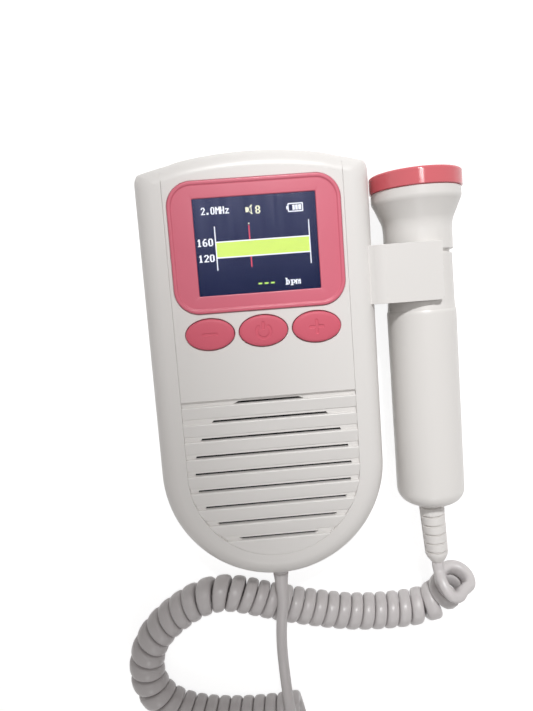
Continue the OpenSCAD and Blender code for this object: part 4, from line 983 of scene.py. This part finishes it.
def probe():
    base = FACE_Y - RING_H
    rim = base - RIM_H
    r = RING_D / 2
    ring = [(0.0, base + 0.3), (r - 2.4, base + 0.3), (r - 2.4, base + 0.02), (r - 0.25, base + 0.02)]
    ring += [(r, base + 0.25), (r, base + 0.3), (r, FACE_Y - 1.0)]
    ring += arc(r - 0.9, FACE_Y - 0.9, 0.9, 0, 90, 10)
    ring += [(r * 0.75, FACE_Y + 0.14), (r / 2, FACE_Y + 0.32), (r / 4, FACE_Y + 0.44), (0.0, FACE_Y + 0.48)]
    finish(turned("rose_face_ring", ring, AXIS, 128), "probe", "rose", ROSE_GLOSS, "face_ring")

    n, m = NECK_D / 2, RIM_D / 2
    head = [(0.0, GROOVE_Y + 0.02), (n - 0.3, GROOVE_Y + 0.02), (n, GROOVE_Y + 0.3), (n, NECK_Y - 3.2)]
    head += bowed((n, NECK_Y - 3.0), (n + 0.05, NECK_Y - 0.3), (n + 0.75, NECK_Y + 1.2), 10)
    head += bowed((m - 0.7, rim - 1.0), (m - 0.02, rim + 0.1), (m, rim + 1.0), 10)
    head += [(m, base - 0.25), (m - 0.2, base - 0.02), (0.0, base - 0.02)]
    finish(turned("probe_head_shell", head, AXIS, 128), "probe", "shell", PROBE_SHELL, "probe_head")

    w, g = WAIST_D / 2, GRIP_D / 2
    groove = GROOVE_Y - GROOVE_H
    grip = [(0.0, GROOVE_Y), (n - 1.2, GROOVE_Y), (n - 1.2, groove), (w - 0.3, groove),
            (w, groove - 0.3), (w, CLIP_Y + CLIP_H / 2), (w + 0.12, WAIST_Y + 2.5)]
    grip += bowed((w + 0.16, WAIST_Y + 1.4), (w + 0.3, WAIST_Y + 0.3), (g - 0.28, WAIST_Y - 0.1), 5)
    grip += bowed((g - 0.2, WAIST_Y - 0.25), (g, WAIST_Y - 0.7), (g, WAIST_Y - 1.6), 5)
    grip += [(g, 0.0), (g, GRIP_Y + GRIP_R + 0.8)]
    grip += arc(g - GRIP_R, GRIP_Y + GRIP_R + 0.5, GRIP_R, -6, -78, 12)
    grip += [(BOOT_D / 2 + 1.1, GRIP_Y + 0.12), (BOOT_D / 2 + 0.5, GRIP_Y + 0.02),
             (BOOT_D / 2 - 1.2, GRIP_Y + 0.02), (0.0, GRIP_Y + 0.02)]
    finish(turned("probe_grip_shell", grip, AXIS, 128), "probe", "shell", PROBE_SHELL, "probe_grip")


def ribbed_sleeve():
    """The probe's strain relief: slots across its front and back leave a web along each side."""
    place = Matrix.Translation(BOOT_AT + BOOT_GAP * BOOT_DIR) @ spin(LEAN + BOOT_LEAN, "Z") @ spin(90, "X")
    n, rings, taper, first = 120, [], 3.4, 0.95
    for w in (BOOT_L * i / 200 for i in range(201)):
        if w < BOOT_L - taper:
            r = (BOOT_D + (BOOT_D2 - BOOT_D) * w / (BOOT_L - taper)) / 2
        else:
            r = BOOT_D2 / 2 - (BOOT_D2 / 2 - CORD_D / 2 - 0.35) * ((w - BOOT_L + taper) / taper) ** 1.5
        ring = []
        for c, s in circle(n):
            # how far towards the front or the back
            face = abs(s)
            near = min(abs(w - first - k * BOOT_PITCH) for k in range(BOOT_N))
            slot = limited((0.36 - near) / 0.1) * limited((face - 0.24) / 0.08)
            side = min(abs(w - first - (k + 0.5) * BOOT_PITCH) for k in range(BOOT_N - 1))
            notch = limited((0.5 - side) / 0.15) * limited((0.2 - face) / 0.08)
            d = r - 0.85 * slot - 0.35 * notch
            ring.append(place @ Vector((d * c, d * s, w)))
        rings.append(ring)
    sleeve = skin("ribbed_sleeve", rings, (True, True), 50.0)
    finish(sleeve, "probe", "sleeve", SLEEVE, "probe_boot")


probe()
ribbed_sleeve()


# ---- clip, sleeve, back, door and what is inside ----
def probe_clip():
    """The drawn clip, with its lip carried on to the leaning shell and a rounded bend over it."""
    top, foot = PROBE_Z + ARM_HALF + CLIP_T, SPLIT_Z + 1
    place = Matrix(((1, 0, 0, 0), (0, 0, 1, CLIP_Y), (0, 1, 0, 0), (0, 0, 0, 1)))
    lip = [(HALF_W - LIP_REACH, top - LIP_DROP), (HALF_W - 1, foot), (HALF_W + 0.8, foot),
           (HALF_W + 0.8, top), (HALF_W, top)]
    clip = refined("probe_clip", name="probe_clip_moulding")
    cleaned(join(clip, prism("clip_lip", lip, place, CLIP_H)))
    work = bmesh.new()
    work.from_mesh(clip.data)
    bend = [e for e in work.edges if e.calc_length() > 12 * MM and all(
        abs(v.co.x / MM - HALF_W) < 0.05 and abs(v.co.z / MM - top) < 0.05 for v in e.verts)]
    bmesh.ops.bevel(work, geom=bend, offset=LIP_BEND * MM, segments=10, affect="EDGES", profile=0.5)
    work.to_mesh(clip.data)
    work.free()
    finish(softened(shade(clip), 0.22, 3, 35.0), "unit", "shell", SHELL, "probe_clip")


def lead_sleeve():
    place = Matrix.Translation((0, -TAIL_Y - TAIL_H, LEAD_Z)) @ spin(90, "X")
    r, cord = SLEEVE_D / 2, CORD_D / 2
    lead = [(0.0, -3.0), (r - 0.1, -3.0), (r - 0.1, 0.0), (r + 0.12, 0.25)]
    lead += bowed((r + 0.1, 0.6), (cord + 0.35, 3.0), (cord + 0.12, SLEEVE_L), 10) + [(0.0, SLEEVE_L)]
    finish(turned("unit_lead_sleeve", lead, place, 48), "unit", "sleeve", CORD, "unit_sleeve")


def earphone_socket():
    """The drawn socket, its nose flush with the leaning shell."""
    socket = refined("earphone_socket", 0.12)
    low, high = [pick(v.co.z for v in socket.data.vertices) / MM for pick in (min, max)]
    levels = [(low - 1 + (high - low + 2) * k / 12, 0.03) for k in range(13)]
    keep_common(socket, loft("shell_space", levels))
    finish(plain(shade(socket)), "unit", "dark", BLACK, "earphone_socket")


def inner_parts():
    """Finishes of the drawn parts that stay as they are."""
    for look, nodes in ((BOARD, ("main_board", "probe_board")),
                        (BLACK, ("key_switches", "lcd_panel", "speaker_frame", "disc_backing")),
                        (CLOTH, ("dust_cloth",)), (PAPER, ("speaker_cone",)), (MAGNET, ("speaker_magnet",)),
                        (CELL, ("left_cell", "right_cell")), (NICKEL, ("battery_contacts",)),
                        (ZINC, ("casing_screws", "clip_screws")), (CERAMIC, ("sound_discs",))):
        for node in nodes:
            slots = CAD[node].data.materials
            if not slots:
                slots.append(look)
            for i in range(len(slots)):
                slots[i] = look


probe_clip()
lead_sleeve()
finish(refined("rear_casing", 0.2), "unit", "shell", SHELL_BACK, "rear_casing")
finish(refined("battery_door", 0.15), "door", "shell", SHELL_BACK, "battery_door")
earphone_socket()
inner_parts()
